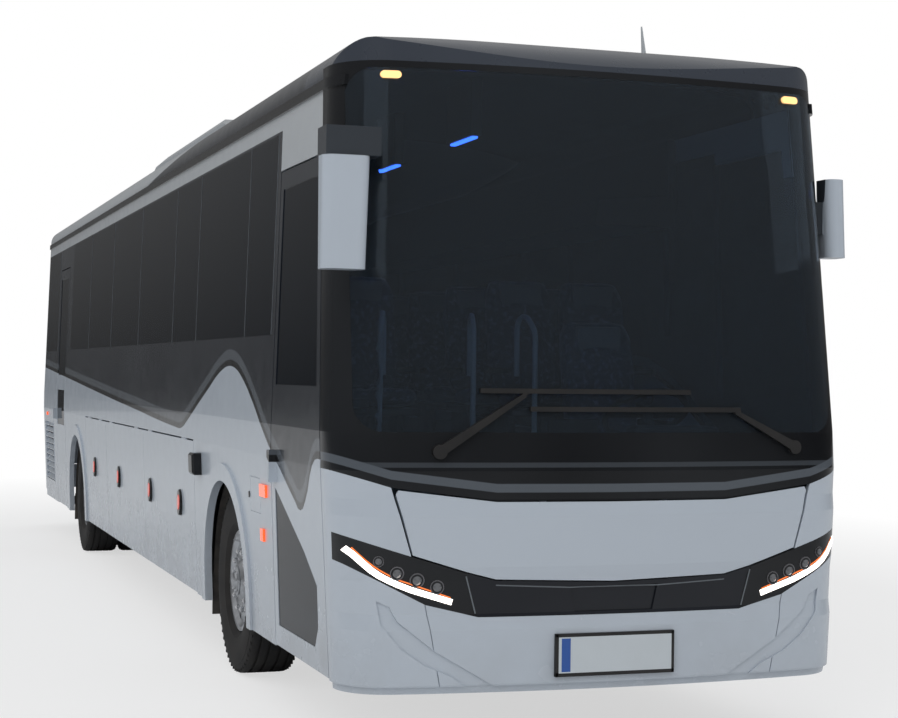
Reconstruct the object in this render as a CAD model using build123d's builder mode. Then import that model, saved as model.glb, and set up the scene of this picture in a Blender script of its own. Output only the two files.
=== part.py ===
from build123d import *
import functools
import math
import os

os.makedirs("parts", exist_ok=True)

# A 13 m two-axle coach bus: front at -Y, driver's side at +X, entrance side at -X,
# ground at Z = 0, origin on the ground under the middle of the coach. Millimetres.

# Driving sizes
LENGTH = 12960
HEIGHT = 3460
WHEELBASE = 7070
FRONT_OVERHANG = 2660
TYRE_RADIUS = 522
TRACK_HALF = 1050
TWIN_PITCH = 335

# Heights
SKIRT_Z = 337
FLAP_LOW_Z = 345
BELT_Z = 1284
GLASS_LOW_Z = 1899
GLASS_HIGH_Z = 2916
WALL_TOP_Z = 3063
SCREEN_LOW_Z = 1455
SCREEN_HIGH_Z = 3088
MASK_TOP_Z = 3118
DOOR_LOW_Z = 345
DOOR_HIGH_Z = 2715
DECK_LOW_Z = 1130
DECK_TOP_Z = 1170
PLATFORM_LOW_Z = 860
PLATFORM_TOP_Z = 900
RAIL_LOW_Z = 620
RAIL_TOP_Z = 780

# Clearances and wall thicknesses
LID_GAP = 6
TOUCH = 0.3
WALL = 45
PANEL = 30
MASK_SKIN = 30
LID_SKIN = 24
GLASS = 8
LAMP_DEPTH = 70

# Side profile of the body: height, half width
SIDE_PROFILE = ((337, 1235), (1284, 1275), (1450, 1275), (3063, 1225))

# Front face in plan, level by level: height, half width, setback, corner radius
FRONT_LEVELS = (
    (300, 1233, 30, 250),
    (345, 1235, 18, 250),
    (585, 1246, 10, 258),
    (655, 1249, 26, 260),
    (800, 1255, 24, 262),
    (860, 1257, 14, 264),
    (1085, 1267, 10, 268),
    (1160, 1270, 22, 270),
    (1284, 1275, 22, 270),
    (1450, 1275, 36, 270),
    (3063, 1225, 214, 270),
    (3290, 1218, 240, 270),
)
FRONT_ARC = 7000

# Rear face in plan, level by level: height, half width, setback, corner radius
REAR_LEVELS = (
    (400, 1238, 30, 180),
    (700, 1250, 0, 180),
    (1284, 1275, 6, 180),
    (1450, 1275, 8, 180),
    (3063, 1225, 60, 180),
    (3290, 1218, 90, 180),
)
REAR_ARC = 9000

FRONT_Y = -LENGTH / 2
REAR_Y = LENGTH / 2


def back(distance):
    """Y of a point that lies this far behind the foremost plane."""
    return FRONT_Y + distance


def half_width(height):
    """Half width of the body's side profile at a height."""
    rows = SIDE_PROFILE
    for (low, x_low), (high, x_high) in zip(rows, rows[1:]):
        if height <= high or high == rows[-1][0]:
            return x_low + (x_high - x_low) * (height - low) / (high - low)


FRONT_AXLE_Y = back(FRONT_OVERHANG)
REAR_AXLE_Y = FRONT_AXLE_Y + WHEELBASE

# Rear edge of the front mask in side view, leaning back with the screen: height, distance
# behind the front
MASK_LINE = ((200, 347), (1284, 400), (3400, 677))

# Stations along the body, as distances behind the front
MASK_REAR = 340
FRONT_DOOR = (340, 1412)
REAR_DOOR = (10690, 11450)
DOOR_GAP = 10
TAIL_START = 12640
TAIL_DEPTH = 560
BAY = (3585, 9020)
FLAP_SEAMS = (3585, 5612, 7640, 9020)
DECK_START = 1760
DOME_REAR = 1000
ARCH_RADIUS = 590
ARCH_Z = 500
MOULDING_WIDTH = 100
MOULDING_PROUD = 15
LINER_RADIUS = DECK_LOW_Z - ARCH_Z - TOUCH
LINER_SKIN = 12


def on_right(shape):
    """The same piece on the entrance side."""
    return mirror(shape, about=Plane.YZ)


def side_band(z_low, z_high, start, end, skin, proud=0):
    """Strip of the driver's side wall that follows the body's profile."""
    levels = [z_low] + [z for z, _ in SIDE_PROFILE if z_low < z < z_high] + [z_high]
    outer = [(half_width(z) + proud, z) for z in levels]
    inner = [(x - skin, z) for x, z in reversed(outer)]
    with BuildPart() as band:
        with BuildSketch(Plane.XZ.offset(-back(end))):
            Polygon(*outer, *inner, align=None)
        extrude(amount=end - start)
    return band.part


def end_form(levels, arc, side, inner_y, inset=0):
    """Solid between a plane and the front (side -1) or rear (side 1) face."""
    with BuildPart() as form:
        for z, half, setback, radius in levels:
            width = half - inset
            nose = side * (LENGTH / 2 - setback - inset)
            shoulder = nose - side * width**2 / (2 * arc)
            with BuildSketch(Plane.XY.offset(z)) as plan:
                with BuildLine():
                    ThreePointArc((-width, shoulder), (0, nose), (width, shoulder))
                    Polyline((width, shoulder), (width, inner_y), (-width, inner_y), (-width, shoulder))
                make_face()
                corners = [v for v in plan.vertices() if abs(v.Y - shoulder) < 1]
                fillet(corners, radius - inset)
        loft(ruled=True)
    return form.part


@functools.cache
def front_form(inset=0):
    return end_form(FRONT_LEVELS, FRONT_ARC, -1, back(DOME_REAR), inset)


@functools.cache
def rear_form(inset=0):
    return end_form(REAR_LEVELS, REAR_ARC, 1, back(LENGTH - TAIL_DEPTH), inset)


def mask_region(gap=0):
    """Everything ahead of the mask's rear edge, and of a gap behind it."""
    edge = [(back(distance + gap), z) for z, distance in MASK_LINE]
    with BuildPart() as region:
        with BuildSketch(Plane.YZ.offset(-1500)):
            Polygon((back(-200), MASK_LINE[0][0]), *edge, (back(-200), MASK_LINE[-1][0]), align=None)
        extrude(amount=3000)
    return region.part


FRONT_OUTER = front_form()
MASK_AREA = mask_region()


@functools.cache
def front_skin(skin, proud=0):
    """Layer of the mask, from proud of its surface down to the skin's depth."""
    with BuildPart() as layer:
        add(front_form(-proud))
        add(front_form(skin), mode=Mode.SUBTRACT)
        add(MASK_AREA, mode=Mode.INTERSECT)
    return layer.part


MASK_SHELL = front_skin(MASK_SKIN)


def front_prism(outline, depth=DOME_REAR):
    """Front-view outline (x, z) drawn through the front of the coach."""
    with BuildPart() as prism:
        with BuildSketch(Plane.XZ.offset(-back(depth))):
            Polygon(*outline, align=None)
        extrude(amount=depth + 100)
    return prism.part


def mask_piece(outline, shell=MASK_SHELL):
    """Piece of the curved front skin inside a front-view outline."""
    with BuildPart() as piece:
        add(shell)
        add(front_prism(outline), mode=Mode.INTERSECT)
    return piece.part


def save(shape, name):
    shape.label = name
    export_step(shape, f"parts/{name}.step")


# Front-view points of the mask: half width, height
MASK_EDGE = 1300
COWL_EDGE = ((0, 1152), (560, 1154), (1033, 1212), (MASK_EDGE, 1292))
LAMP_TOP_INNER = (691, 834)
LAMP_TOP_SEAM = (944, 911)
LAMP_TOP_OUTER = (MASK_EDGE, 1023)
LAMP_LOW_OUTER = (MASK_EDGE, 911)
LAMP_LOW_CORNER = (1213, 870)
LAMP_LOW_SEAM = (876, 697)
LAMP_LOW_INNER = (639, 640)
LID_LOW_MID = (0, 783)
LID_LOW_KINK = (560, 800)
STRIP_LOW_MID = (0, 640)
LAMP_REAR = 280
BUMPER_SEAM_LOW = 806
PLATE_WIDTH = 550
PLATE_HEIGHT = 160
PLATE_LOW_Z = 385

# Bumper: one moulding across the front, its corner pieces parted by narrow grooves
GROOVE = 5
bumper_top = (STRIP_LOW_MID, LAMP_LOW_INNER, LAMP_LOW_SEAM, LAMP_LOW_CORNER, LAMP_LOW_OUTER)
bumper_half = [(0, SKIRT_Z), (MASK_EDGE, SKIRT_Z)] + list(reversed(bumper_top))
LIP_LOW_Z = 304
LIP_INSET = 14
lip_half = ((0, LIP_LOW_Z), (MASK_EDGE, LIP_LOW_Z), (MASK_EDGE, SKIRT_Z), (0, SKIRT_Z))
SHALLOW = front_skin(9, 5)
valley_half = (
    (560, SKIRT_Z - 5), (835, 494), (1000, 625), (1035, 690), (1090, 715), (1072, 610),
    (985, 505), (880, 432), (760, 382), (690, SKIRT_Z - 5),
)
groove_half = [
    (BUMPER_SEAM_LOW, SKIRT_Z - 10),
    (BUMPER_SEAM_LOW + GROOVE, SKIRT_Z - 10),
    (LAMP_LOW_SEAM[0] + GROOVE, LAMP_LOW_SEAM[1] + 5),
    (LAMP_LOW_SEAM[0], LAMP_LOW_SEAM[1] + 5),
]
with BuildPart() as lip_layer:
    add(front_form(LIP_INSET))
    add(front_form(LIP_INSET + MASK_SKIN), mode=Mode.SUBTRACT)
    add(MASK_AREA, mode=Mode.INTERSECT)
with BuildPart() as bumper:
    add(mask_piece(bumper_half))
    add(mask_piece(groove_half, SHALLOW), mode=Mode.SUBTRACT)
    add(mask_piece(valley_half, SHALLOW), mode=Mode.SUBTRACT)
    add(mask_piece(lip_half, lip_layer.part))
    mirror(about=Plane.YZ)
save(bumper.part, "bumper")

# Headlamps, deep housings behind the mask's surface
lamp_outline = (
    LAMP_TOP_INNER, LAMP_TOP_SEAM, LAMP_TOP_OUTER, LAMP_LOW_OUTER,
    LAMP_LOW_CORNER, LAMP_LOW_SEAM, LAMP_LOW_INNER,
)
LAMP_AREA = front_prism(lamp_outline, LAMP_REAR)
with BuildPart() as headlamps:
    add(front_skin(LAMP_DEPTH))
    add(LAMP_AREA, mode=Mode.INTERSECT)
    mirror(about=Plane.YZ)
save(headlamps.part, "headlamps")

# White corner panels between the lid's seam and the sides
corner_outline = (COWL_EDGE[2], LAMP_TOP_SEAM, LAMP_LOW_CORNER, LAMP_LOW_OUTER, COWL_EDGE[3])
with BuildPart() as corner_panels:
    add(mask_piece(corner_outline))
    add(LAMP_AREA, mode=Mode.SUBTRACT)
    mirror(about=Plane.YZ)
save(corner_panels.part, "corner_panels")

# Gloss strip between the lamps
strip_half = [LID_LOW_MID, LID_LOW_KINK, LAMP_TOP_INNER, LAMP_LOW_INNER, STRIP_LOW_MID]
recess_half = ((0, 655), (190, 655), (215, 770), (0, 768))
with BuildPart() as grille_strip:
    add(mask_piece(strip_half))
    add(mask_piece(recess_half, SHALLOW), mode=Mode.SUBTRACT)
    mirror(about=Plane.YZ)
save(grille_strip.part, "grille_strip")

# Cowl panel under the windscreen
cowl_half = list(COWL_EDGE) + [(MASK_EDGE, SCREEN_LOW_Z), (0, SCREEN_LOW_Z)]
LID_HINGE = (60, 1224)
NECK_X = 300
NECK_THICK = 30
NECK_WIDTH = 16
NECK_REACH = 95
NECK_DROP = 104
EYE_RADIUS = 12
LID_PIN = 6
CHEEK = 8


def box_between(low, high, mode=Mode.ADD):
    """Block between two opposite corners, added to the part being built."""
    size = [h - l for l, h in zip(low, high)]
    middle = [(h + l) / 2 for l, h in zip(low, high)]
    with Locations(tuple(middle)):
        Box(*size, mode=mode)


with BuildPart() as cowl_panel:
    add(mask_piece(cowl_half))
    slot_half = NECK_THICK / 2 + 2
    box_between((NECK_X - slot_half, back(LID_HINGE[0] - 20), COWL_EDGE[0][1] - 5),
                (NECK_X + slot_half, back(LID_HINGE[0] + 60), LID_HINGE[1] + 19), Mode.SUBTRACT)
    for cheek_x in (NECK_X - slot_half - CHEEK, NECK_X + slot_half):
        box_between((cheek_x, back(LID_HINGE[0] - 12), LID_HINGE[1] - 16),
                    (cheek_x + CHEEK, back(LID_HINGE[0] + 16), LID_HINGE[1] + 22))
    with BuildSketch(Plane.YZ.offset(NECK_X - slot_half - 2)):
        with Locations((back(LID_HINGE[0]), LID_HINGE[1])):
            Circle(LID_PIN)
    extrude(amount=2 * slot_half + 4)
    mirror(about=Plane.YZ)
save(cowl_panel.part, "cowl_panel")

# Service lid, hinged along its top edge
lid_half = [
    (0, COWL_EDGE[0][1] - LID_GAP),
    (COWL_EDGE[1][0], COWL_EDGE[1][1] - LID_GAP),
    (COWL_EDGE[2][0] - 32, COWL_EDGE[2][1] - LID_GAP - 6),
    (COWL_EDGE[2][0] - 22, COWL_EDGE[2][1] - 30),
    (LAMP_TOP_SEAM[0] - LID_GAP - 2, LAMP_TOP_SEAM[1] + 5),
    (LAMP_TOP_INNER[0], LAMP_TOP_INNER[1] + LID_GAP),
    (LID_LOW_KINK[0], LID_LOW_KINK[1] + LID_GAP),
    (0, LID_LOW_MID[1] + LID_GAP),
]
LID_EDGE_SKIN = 10
LID_BAND = 34
edge_band = [
    (0, COWL_EDGE[0][1]), (COWL_EDGE[1][0], COWL_EDGE[1][1]), COWL_EDGE[2],
    (COWL_EDGE[2][0], COWL_EDGE[2][1] - LID_BAND),
    (COWL_EDGE[1][0], COWL_EDGE[1][1] - LID_BAND), (0, COWL_EDGE[0][1] - LID_BAND),
]
with BuildPart() as edge_core:
    add(front_form(LID_EDGE_SKIN))
    add(front_prism(edge_band), mode=Mode.INTERSECT)
with BuildPart() as front_lid:
    add(mask_piece(lid_half, front_skin(LID_SKIN)))
    add(edge_core.part, mode=Mode.SUBTRACT)
    with BuildPart(mode=Mode.PRIVATE) as gooseneck:
        with BuildSketch(Plane.YZ.offset(NECK_X - NECK_THICK / 2)):
            eye_y = back(LID_HINGE[0])
            eye_z = LID_HINGE[1]
            with BuildLine():
                neck = Polyline(
                    (eye_y, eye_z), (eye_y + NECK_REACH, eye_z - 8),
                    (eye_y + NECK_REACH, eye_z - NECK_DROP), (eye_y - 28, eye_z - NECK_DROP),
                )
            trace(neck, NECK_WIDTH)
            with Locations((eye_y, eye_z)):
                Circle(EYE_RADIUS)
                Circle(LID_PIN + TOUCH, mode=Mode.SUBTRACT)
        extrude(amount=NECK_THICK)
        add(front_form(LID_SKIN - 4), mode=Mode.INTERSECT)
    add(gooseneck.part)
    mirror(about=Plane.YZ)
save(front_lid.part, "front_lid")

# Windscreen and the frame around it
SCREEN_HALF = 1185
SCREEN_CORNER = 120
with BuildPart() as screen_prism:
    with BuildSketch(Plane.XZ.offset(-back(DOME_REAR))) as screen_view:
        with Locations((0, (SCREEN_LOW_Z + SCREEN_HIGH_Z) / 2)):
            Rectangle(2 * SCREEN_HALF, SCREEN_HIGH_Z - SCREEN_LOW_Z)
        fillet(screen_view.vertices().group_by(Axis.Z)[-1], SCREEN_CORNER)
    extrude(amount=DOME_REAR + 100)
with BuildPart() as windscreen:
    add(front_skin(GLASS))
    add(screen_prism.part, mode=Mode.INTERSECT)
save(windscreen.part, "windscreen")

frame_outline = (
    (-MASK_EDGE, SCREEN_LOW_Z), (MASK_EDGE, SCREEN_LOW_Z),
    (MASK_EDGE, MASK_TOP_Z), (-MASK_EDGE, MASK_TOP_Z),
)
with BuildPart() as windscreen_frame:
    add(mask_piece(frame_outline))
    add(screen_prism.part, mode=Mode.SUBTRACT)
save(windscreen_frame.part, "windscreen_frame")

# Roof: cove and crown arcs, half width and height of their points
COVE_MID = (1196, 3160)
ROOF_EDGE = (1100, 3224)
ROOF_TOP_Z = 3262
ROOF_SKIN = 45


def roof_profile(plane, inset=0, drop=0):
    """Cross section of the roof above the side walls, or with a skirt of this drop."""
    with BuildSketch(plane) as section:
        with BuildLine():
            foot = (half_width(WALL_TOP_Z) - inset, WALL_TOP_Z)
            bend = (COVE_MID[0] - 0.8 * inset, COVE_MID[1] - 0.6 * inset)
            edge = (ROOF_EDGE[0] - 0.3 * inset, ROOF_EDGE[1] - inset)
            crown = (0, ROOF_TOP_Z - inset)
            ThreePointArc(foot, bend, edge)
            ThreePointArc(edge, crown, (-edge[0], edge[1]))
            ThreePointArc((-edge[0], edge[1]), (-bend[0], bend[1]), (-foot[0], foot[1]))
            if drop:
                base = WALL_TOP_Z - drop
                Polyline((-foot[0], foot[1]), (-foot[0], base), (foot[0], base), foot)
            else:
                Line((-foot[0], foot[1]), foot)
        make_face()
    return section.sketch


def roof_length(inset, start, end, drop=0):
    with BuildPart() as length:
        add(roof_profile(Plane.XZ.offset(-back(end)), inset, drop))
        extrude(amount=end - start, dir=(0, -1, 0))
    return length.part


def dome_form(inset):
    """Front cap of the roof: plan of the front, brow in side view, roof in cross section."""
    with BuildPart() as dome:
        with BuildSketch(Plane.YZ.offset(-1400)):
            with BuildLine():
                brow_start = (back(205 + inset), MASK_TOP_Z)
                brow_mid = (back(282 + inset), 3200 - 0.7 * inset)
                brow_end = (back(520 + inset), 3256 - inset)
                ThreePointArc(brow_start, brow_mid, brow_end)
                Polyline(
                    brow_end, (back(DOME_REAR), ROOF_TOP_Z - inset + 1), (back(DOME_REAR), 2900),
                    (back(100), 2900), (back(100), MASK_TOP_Z), brow_start,
                )
            make_face()
        extrude(amount=2800)
        add(roof_length(inset, 0, DOME_REAR + 50, 200), mode=Mode.INTERSECT)
        add(front_form(inset), mode=Mode.INTERSECT)
    return dome.part


with BuildPart() as below_dome:
    add(MASK_AREA)
    with BuildSketch(Plane.XY.offset(MASK_TOP_Z)):
        with Locations((0, back(DOME_REAR / 2))):
            Rectangle(3200, DOME_REAR + 400)
    extrude(amount=400, mode=Mode.SUBTRACT)
with BuildPart() as roof_dome:
    add(dome_form(0))
    add(dome_form(MASK_SKIN), mode=Mode.SUBTRACT)
    with BuildSketch(Plane.XY.offset(2800)):
        with Locations((0, back(DOME_REAR / 2))):
            Rectangle(3000, DOME_REAR + 200)
    extrude(amount=WALL_TOP_Z - 2800, mode=Mode.SUBTRACT)
    add(below_dome.part, mode=Mode.SUBTRACT)
save(roof_dome.part, "roof_dome")

# Roof shell with a closed rear end
with BuildPart() as tail_cut:
    add(rear_form())
    with BuildSketch(Plane.XY.offset(2500)):
        with Locations((0, (back(DOME_REAR) + back(TAIL_START)) / 2)):
            Rectangle(2 * half_width(WALL_TOP_Z) + 100, TAIL_START - DOME_REAR)
    extrude(amount=1000)
with BuildPart() as roof_inner:
    add(roof_length(ROOF_SKIN, DOME_REAR, LENGTH))
    with BuildSketch(Plane.XY.offset(2500)):
        with Locations((0, (back(DOME_REAR) + back(LENGTH - 120)) / 2)):
            Rectangle(3000, LENGTH - 120 - DOME_REAR)
    extrude(amount=1000, mode=Mode.INTERSECT)
with BuildPart() as roof_shell:
    add(roof_length(0, DOME_REAR, LENGTH))
    add(tail_cut.part, mode=Mode.INTERSECT)
    add(roof_inner.part, mode=Mode.SUBTRACT)
save(roof_shell.part, "roof_shell")

# Air-conditioning unit and roof hatches
UNIT = (4300, 7600)
UNIT_HALF = 900
HATCH_TABLE = ((2650, 780), (10300, 780))
ANTENNA = (600, 1060, 3530)
with BuildPart() as roof_unit:
    unit_side = (
        (back(UNIT[0]), 3180), (back(UNIT[0] + 80), 3330), (back(UNIT[0] + 600), HEIGHT),
        (back(UNIT[1] - 300), HEIGHT), (back(UNIT[1]), 3380), (back(UNIT[1]), 3180),
    )
    with BuildSketch(Plane.YZ.offset(-UNIT_HALF)):
        Polygon(*unit_side, align=None)
    extrude(amount=2 * UNIT_HALF)
    chamfer(roof_unit.edges().filter_by(Axis.Y).group_by(Axis.Z)[-1], 60)
    for start, size in HATCH_TABLE:
        with BuildSketch(Plane.XY.offset(3180)):
            with Locations((0, back(start + size / 2))):
                RectangleRounded(size, size, 90)
        extrude(amount=120)
    add(roof_length(0, 1500, LENGTH - 500), mode=Mode.SUBTRACT)
    with BuildSketch(Plane.XY.offset(ROOF_TOP_Z - 12)):
        with Locations((ANTENNA[0], back(ANTENNA[1]))):
            Circle(20)
    with BuildSketch(Plane.XY.offset(ANTENNA[2])):
        with Locations((ANTENNA[0], back(ANTENNA[1] + 60))):
            Circle(4)
    loft(ruled=True)
    add(roof_length(0, DOME_REAR, 1500), mode=Mode.SUBTRACT)
save(roof_unit.part, "roof_unit")

# Side windows: start and end behind the front, sill height
PANE_JOINT = 4
PANE_FRAME = 45
PILLAR_FACE = 40
LEFT_PANES = (
    (480, 1500, 1560), (1500, 2157, GLASS_LOW_Z), (2157, 3620, GLASS_LOW_Z), (3620, 4490, GLASS_LOW_Z),
    (4490, 6000, GLASS_LOW_Z), (6000, 7500, GLASS_LOW_Z), (7500, 8970, GLASS_LOW_Z),
    (8970, 10370, GLASS_LOW_Z), (10370, 11520, GLASS_LOW_Z), (11520, 12590, GLASS_LOW_Z),
)
RIGHT_PANES = LEFT_PANES[1:8] + LEFT_PANES[9:]


def window_cut(start, end, sill):
    """Opening through the wall with a rebate that takes the bonded pane."""
    with BuildPart() as cut:
        add(side_band(sill, GLASS_HIGH_Z, start, end, GLASS + TOUCH + 20, proud=20))
        add(mask_region(PILLAR_FACE), mode=Mode.SUBTRACT)
        with BuildPart(mode=Mode.PRIVATE) as through:
            add(side_band(sill + PANE_FRAME, GLASS_HIGH_Z - PANE_FRAME,
                          start + PANE_FRAME, end - PANE_FRAME, 2 * WALL, proud=20))
            add(mask_region(PILLAR_FACE + PANE_FRAME), mode=Mode.SUBTRACT)
        add(through.part)
    return cut.part


# Flap hinges on the belt line: barrels of the wall beside barrels of the flap
BARREL_RADIUS = 4.6
BARREL_LENGTH = 70
BARREL_INSET = 260
BELT_GAP = 5


def hinge_barrel(start, leaf):
    """Barrel on the belt line with its leaf, above (1) or below (-1)."""
    with BuildPart() as barrel:
        with BuildSketch(Plane.XZ.offset(-back(start + BARREL_LENGTH))):
            with Locations((half_width(BELT_Z), BELT_Z)):
                Circle(BARREL_RADIUS)
            with Locations((half_width(BELT_Z) - BARREL_RADIUS - 0.5, BELT_Z + leaf * (BELT_GAP + 1) / 2)):
                Rectangle(2 * BARREL_RADIUS, BELT_GAP + 1)
        extrude(amount=BARREL_LENGTH)
    return barrel.part


def barrel_starts(start, end):
    """Stations of a flap's own barrels; the wall's lie just behind them."""
    return (start + BARREL_INSET, end - BARREL_INSET - 2 * BARREL_LENGTH)


def side_wall(panes, doors):
    with BuildPart() as wall:
        add(side_band(BELT_Z + BELT_GAP, WALL_TOP_Z, MASK_REAR, TAIL_START, WALL))
        add(MASK_AREA, mode=Mode.SUBTRACT)
        for start, end in zip(FLAP_SEAMS, FLAP_SEAMS[1:]):
            for station in barrel_starts(start, end):
                add(hinge_barrel(station + BARREL_LENGTH + TOUCH, 1))
        for start, end, sill in panes:
            add(window_cut(start, end, sill), mode=Mode.SUBTRACT)
        for start, end in doors:
            add(side_band(BELT_Z - 100, DOOR_HIGH_Z + DOOR_GAP, start - DOOR_GAP,
                          end + DOOR_GAP, 3 * WALL, proud=40), mode=Mode.SUBTRACT)
    return wall.part


side_wall_left = side_wall(LEFT_PANES, ())
save(side_wall_left, "side_wall_left")
side_wall_right = on_right(side_wall(RIGHT_PANES, (FRONT_DOOR, REAR_DOOR)))
save(side_wall_right, "side_wall_right")


def side_panes(panes):
    with BuildPart() as glass:
        for start, end, sill in panes:
            add(side_band(sill + 1, GLASS_HIGH_Z - 1, start + PANE_JOINT / 2,
                          end - PANE_JOINT / 2, GLASS))
        add(mask_region(PILLAR_FACE + 1), mode=Mode.SUBTRACT)
    return glass.part


# Rear window: half width, sill and top
REAR_WINDOW = (980, 1950, 2760)


def rear_prism(half, low, high, corner=0):
    with BuildPart() as prism:
        with BuildSketch(Plane.XZ.offset(-back(LENGTH + 100))) as view:
            with Locations((0, (low + high) / 2)):
                Rectangle(2 * half, high - low)
            if corner:
                fillet(view.vertices(), corner)
        extrude(amount=100 + LENGTH - TAIL_START)
    return prism.part


REAR_OUTER = rear_form()


def rear_skin(skin):
    """Layer of the rear face, from its surface down to the skin's depth."""
    with BuildPart() as layer:
        add(REAR_OUTER)
        add(rear_form(skin), mode=Mode.SUBTRACT)
        with BuildSketch(Plane.XY.offset(REAR_LEVELS[0][0])):
            with Locations((0, back((TAIL_START + LENGTH) / 2))):
                Rectangle(3000, LENGTH - TAIL_START)
        extrude(amount=WALL_TOP_Z - REAR_LEVELS[0][0], mode=Mode.INTERSECT)
    return layer.part


REAR_SHELL = rear_skin(PANEL)
with BuildPart() as rear_pane:
    add(rear_skin(GLASS))
    add(rear_prism(*REAR_WINDOW, 80), mode=Mode.INTERSECT)
with BuildPart() as windows:
    add(side_panes(LEFT_PANES))
    add(on_right(side_panes(RIGHT_PANES)))
    add(rear_pane.part)
save(windows.part, "windows")

# Rear wall, engine lid and tail lamps
ENGINE_LID = (930, 660, 1640)
TAIL_LAMP = (1085, 1238, 720, 1290)


def tail_box(side_sign):
    inner, outer, low, high = TAIL_LAMP
    with BuildPart() as box:
        with BuildSketch(Plane.XZ.offset(-back(LENGTH + 100))):
            with Locations((side_sign * (inner + outer) / 2, (low + high) / 2)):
                Rectangle(outer - inner, high - low)
        extrude(amount=100 + LENGTH - TAIL_START)
    return box.part


LID_AXIS = (LENGTH - 8, ENGINE_LID[2] + LID_GAP / 2)
LID_BARREL = (7, 40)


def lid_barrel(mid_x, leaf):
    """Barrel of the engine lid's hinge with its leaf, above (1) or below (-1)."""
    radius, width = LID_BARREL
    with BuildPart() as barrel:
        with BuildSketch(Plane.YZ.offset(mid_x - width / 2)):
            with Locations((back(LID_AXIS[0]), LID_AXIS[1])):
                Circle(radius)
            with Locations((back(LID_AXIS[0]) - 16, LID_AXIS[1] + leaf * 11)):
                Rectangle(32, 22)
        extrude(amount=width)
        add(rear_form(10), mode=Mode.SUBTRACT)
    return barrel.part


BARREL_STEP = LID_BARREL[1] + TOUCH
BARREL_PLACES = (-420, 420)
with BuildPart() as rear_wall:
    add(REAR_SHELL)
    add(rear_prism(*REAR_WINDOW, 80), mode=Mode.SUBTRACT)
    add(rear_prism(ENGINE_LID[0] + LID_GAP, ENGINE_LID[1] - LID_GAP, ENGINE_LID[2] + LID_GAP), mode=Mode.SUBTRACT)
    add(tail_box(1), mode=Mode.SUBTRACT)
    add(tail_box(-1), mode=Mode.SUBTRACT)
    for mid_x in BARREL_PLACES:
        add(lid_barrel(mid_x, 1))
save(rear_wall.part, "rear_wall")

VENT_ROWS = (760, 815, 870, 925, 980)
VENT_HALF = 640
with BuildPart() as engine_lid:
    add(REAR_SHELL)
    add(rear_prism(*ENGINE_LID), mode=Mode.INTERSECT)
    for low in VENT_ROWS:
        add(rear_prism(VENT_HALF, low, low + 26), mode=Mode.SUBTRACT)
    for mid_x in BARREL_PLACES:
        add(lid_barrel(mid_x - BARREL_STEP, -1))
        add(lid_barrel(mid_x + BARREL_STEP, -1))
save(engine_lid.part, "engine_lid")

with BuildPart() as tail_lamp_left:
    add(rear_skin(LAMP_DEPTH))
    add(tail_box(1), mode=Mode.INTERSECT)
with BuildPart() as tail_lamps:
    add(tail_lamp_left.part)
    mirror(about=Plane.YZ)
save(tail_lamps.part, "tail_lamps")


# Wheel arches
def arch_outline(axle_y, radius, low):
    """Side view of an arch: a half circle on straight legs."""
    with BuildSketch(Plane.YZ) as outline:
        with Locations((axle_y, ARCH_Z)):
            Circle(radius)
        with Locations((axle_y, (ARCH_Z + low) / 2)):
            Rectangle(2 * radius, ARCH_Z - low)
        with Locations((axle_y, low - 400)):
            Rectangle(4 * radius, 800, mode=Mode.SUBTRACT)
    return outline.sketch


def arch_prism(axle_y, radius, low, start, end):
    with BuildPart() as prism:
        add(arch_outline(axle_y, radius, low).moved(Location((start, 0, 0))))
        extrude(amount=end - start, dir=(1, 0, 0))
    return prism.part


# Fixed lower panels: start and end behind the front
LEFT_LOWER = ((MASK_REAR, BAY[0]), (BAY[1], TAIL_START))
RIGHT_LOWER = (
    (FRONT_DOOR[1] + DOOR_GAP, BAY[0]),
    (BAY[1], REAR_DOOR[0] - DOOR_GAP),
    (REAR_DOOR[1] + DOOR_GAP, TAIL_START),
)


# Louvres over the radiator, and the seam of the filler hatch
LOUVRE_SPAN = (11745, 12580)
LOUVRE_LOW_Z = 520
LOUVRE_HIGH_Z = 1160
SLATS = 10
HATCH_BAND = (981, 1159, 1690, 1925)
SEAM = 4


def seam_ring(low, high, start, end):
    """Narrow groove around a hatch in the side panel."""
    with BuildPart() as ring:
        add(side_band(low - SEAM, high + SEAM, start - SEAM, end + SEAM, SEAM, proud=1))
        add(side_band(low, high, start, end, 2 * SEAM, proud=2), mode=Mode.SUBTRACT)
    return ring.part


def lower_side(spans):
    with BuildPart() as panels:
        for start, end in spans:
            add(side_band(SKIRT_Z, BELT_Z + BELT_GAP, start, end, PANEL))
        add(MASK_AREA, mode=Mode.SUBTRACT)
        for axle_y in (FRONT_AXLE_Y, REAR_AXLE_Y):
            add(arch_prism(axle_y, ARCH_RADIUS, SKIRT_Z - 50, 1000, 1400), mode=Mode.SUBTRACT)
        add(side_band(LOUVRE_LOW_Z, LOUVRE_HIGH_Z, *LOUVRE_SPAN, 2 * PANEL, proud=5), mode=Mode.SUBTRACT)
        add(seam_ring(*HATCH_BAND), mode=Mode.SUBTRACT)
    return panels.part


with BuildPart() as lower_panels:
    add(lower_side(LEFT_LOWER))
    add(on_right(lower_side(RIGHT_LOWER)))
save(lower_panels.part, "lower_panels")


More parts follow.
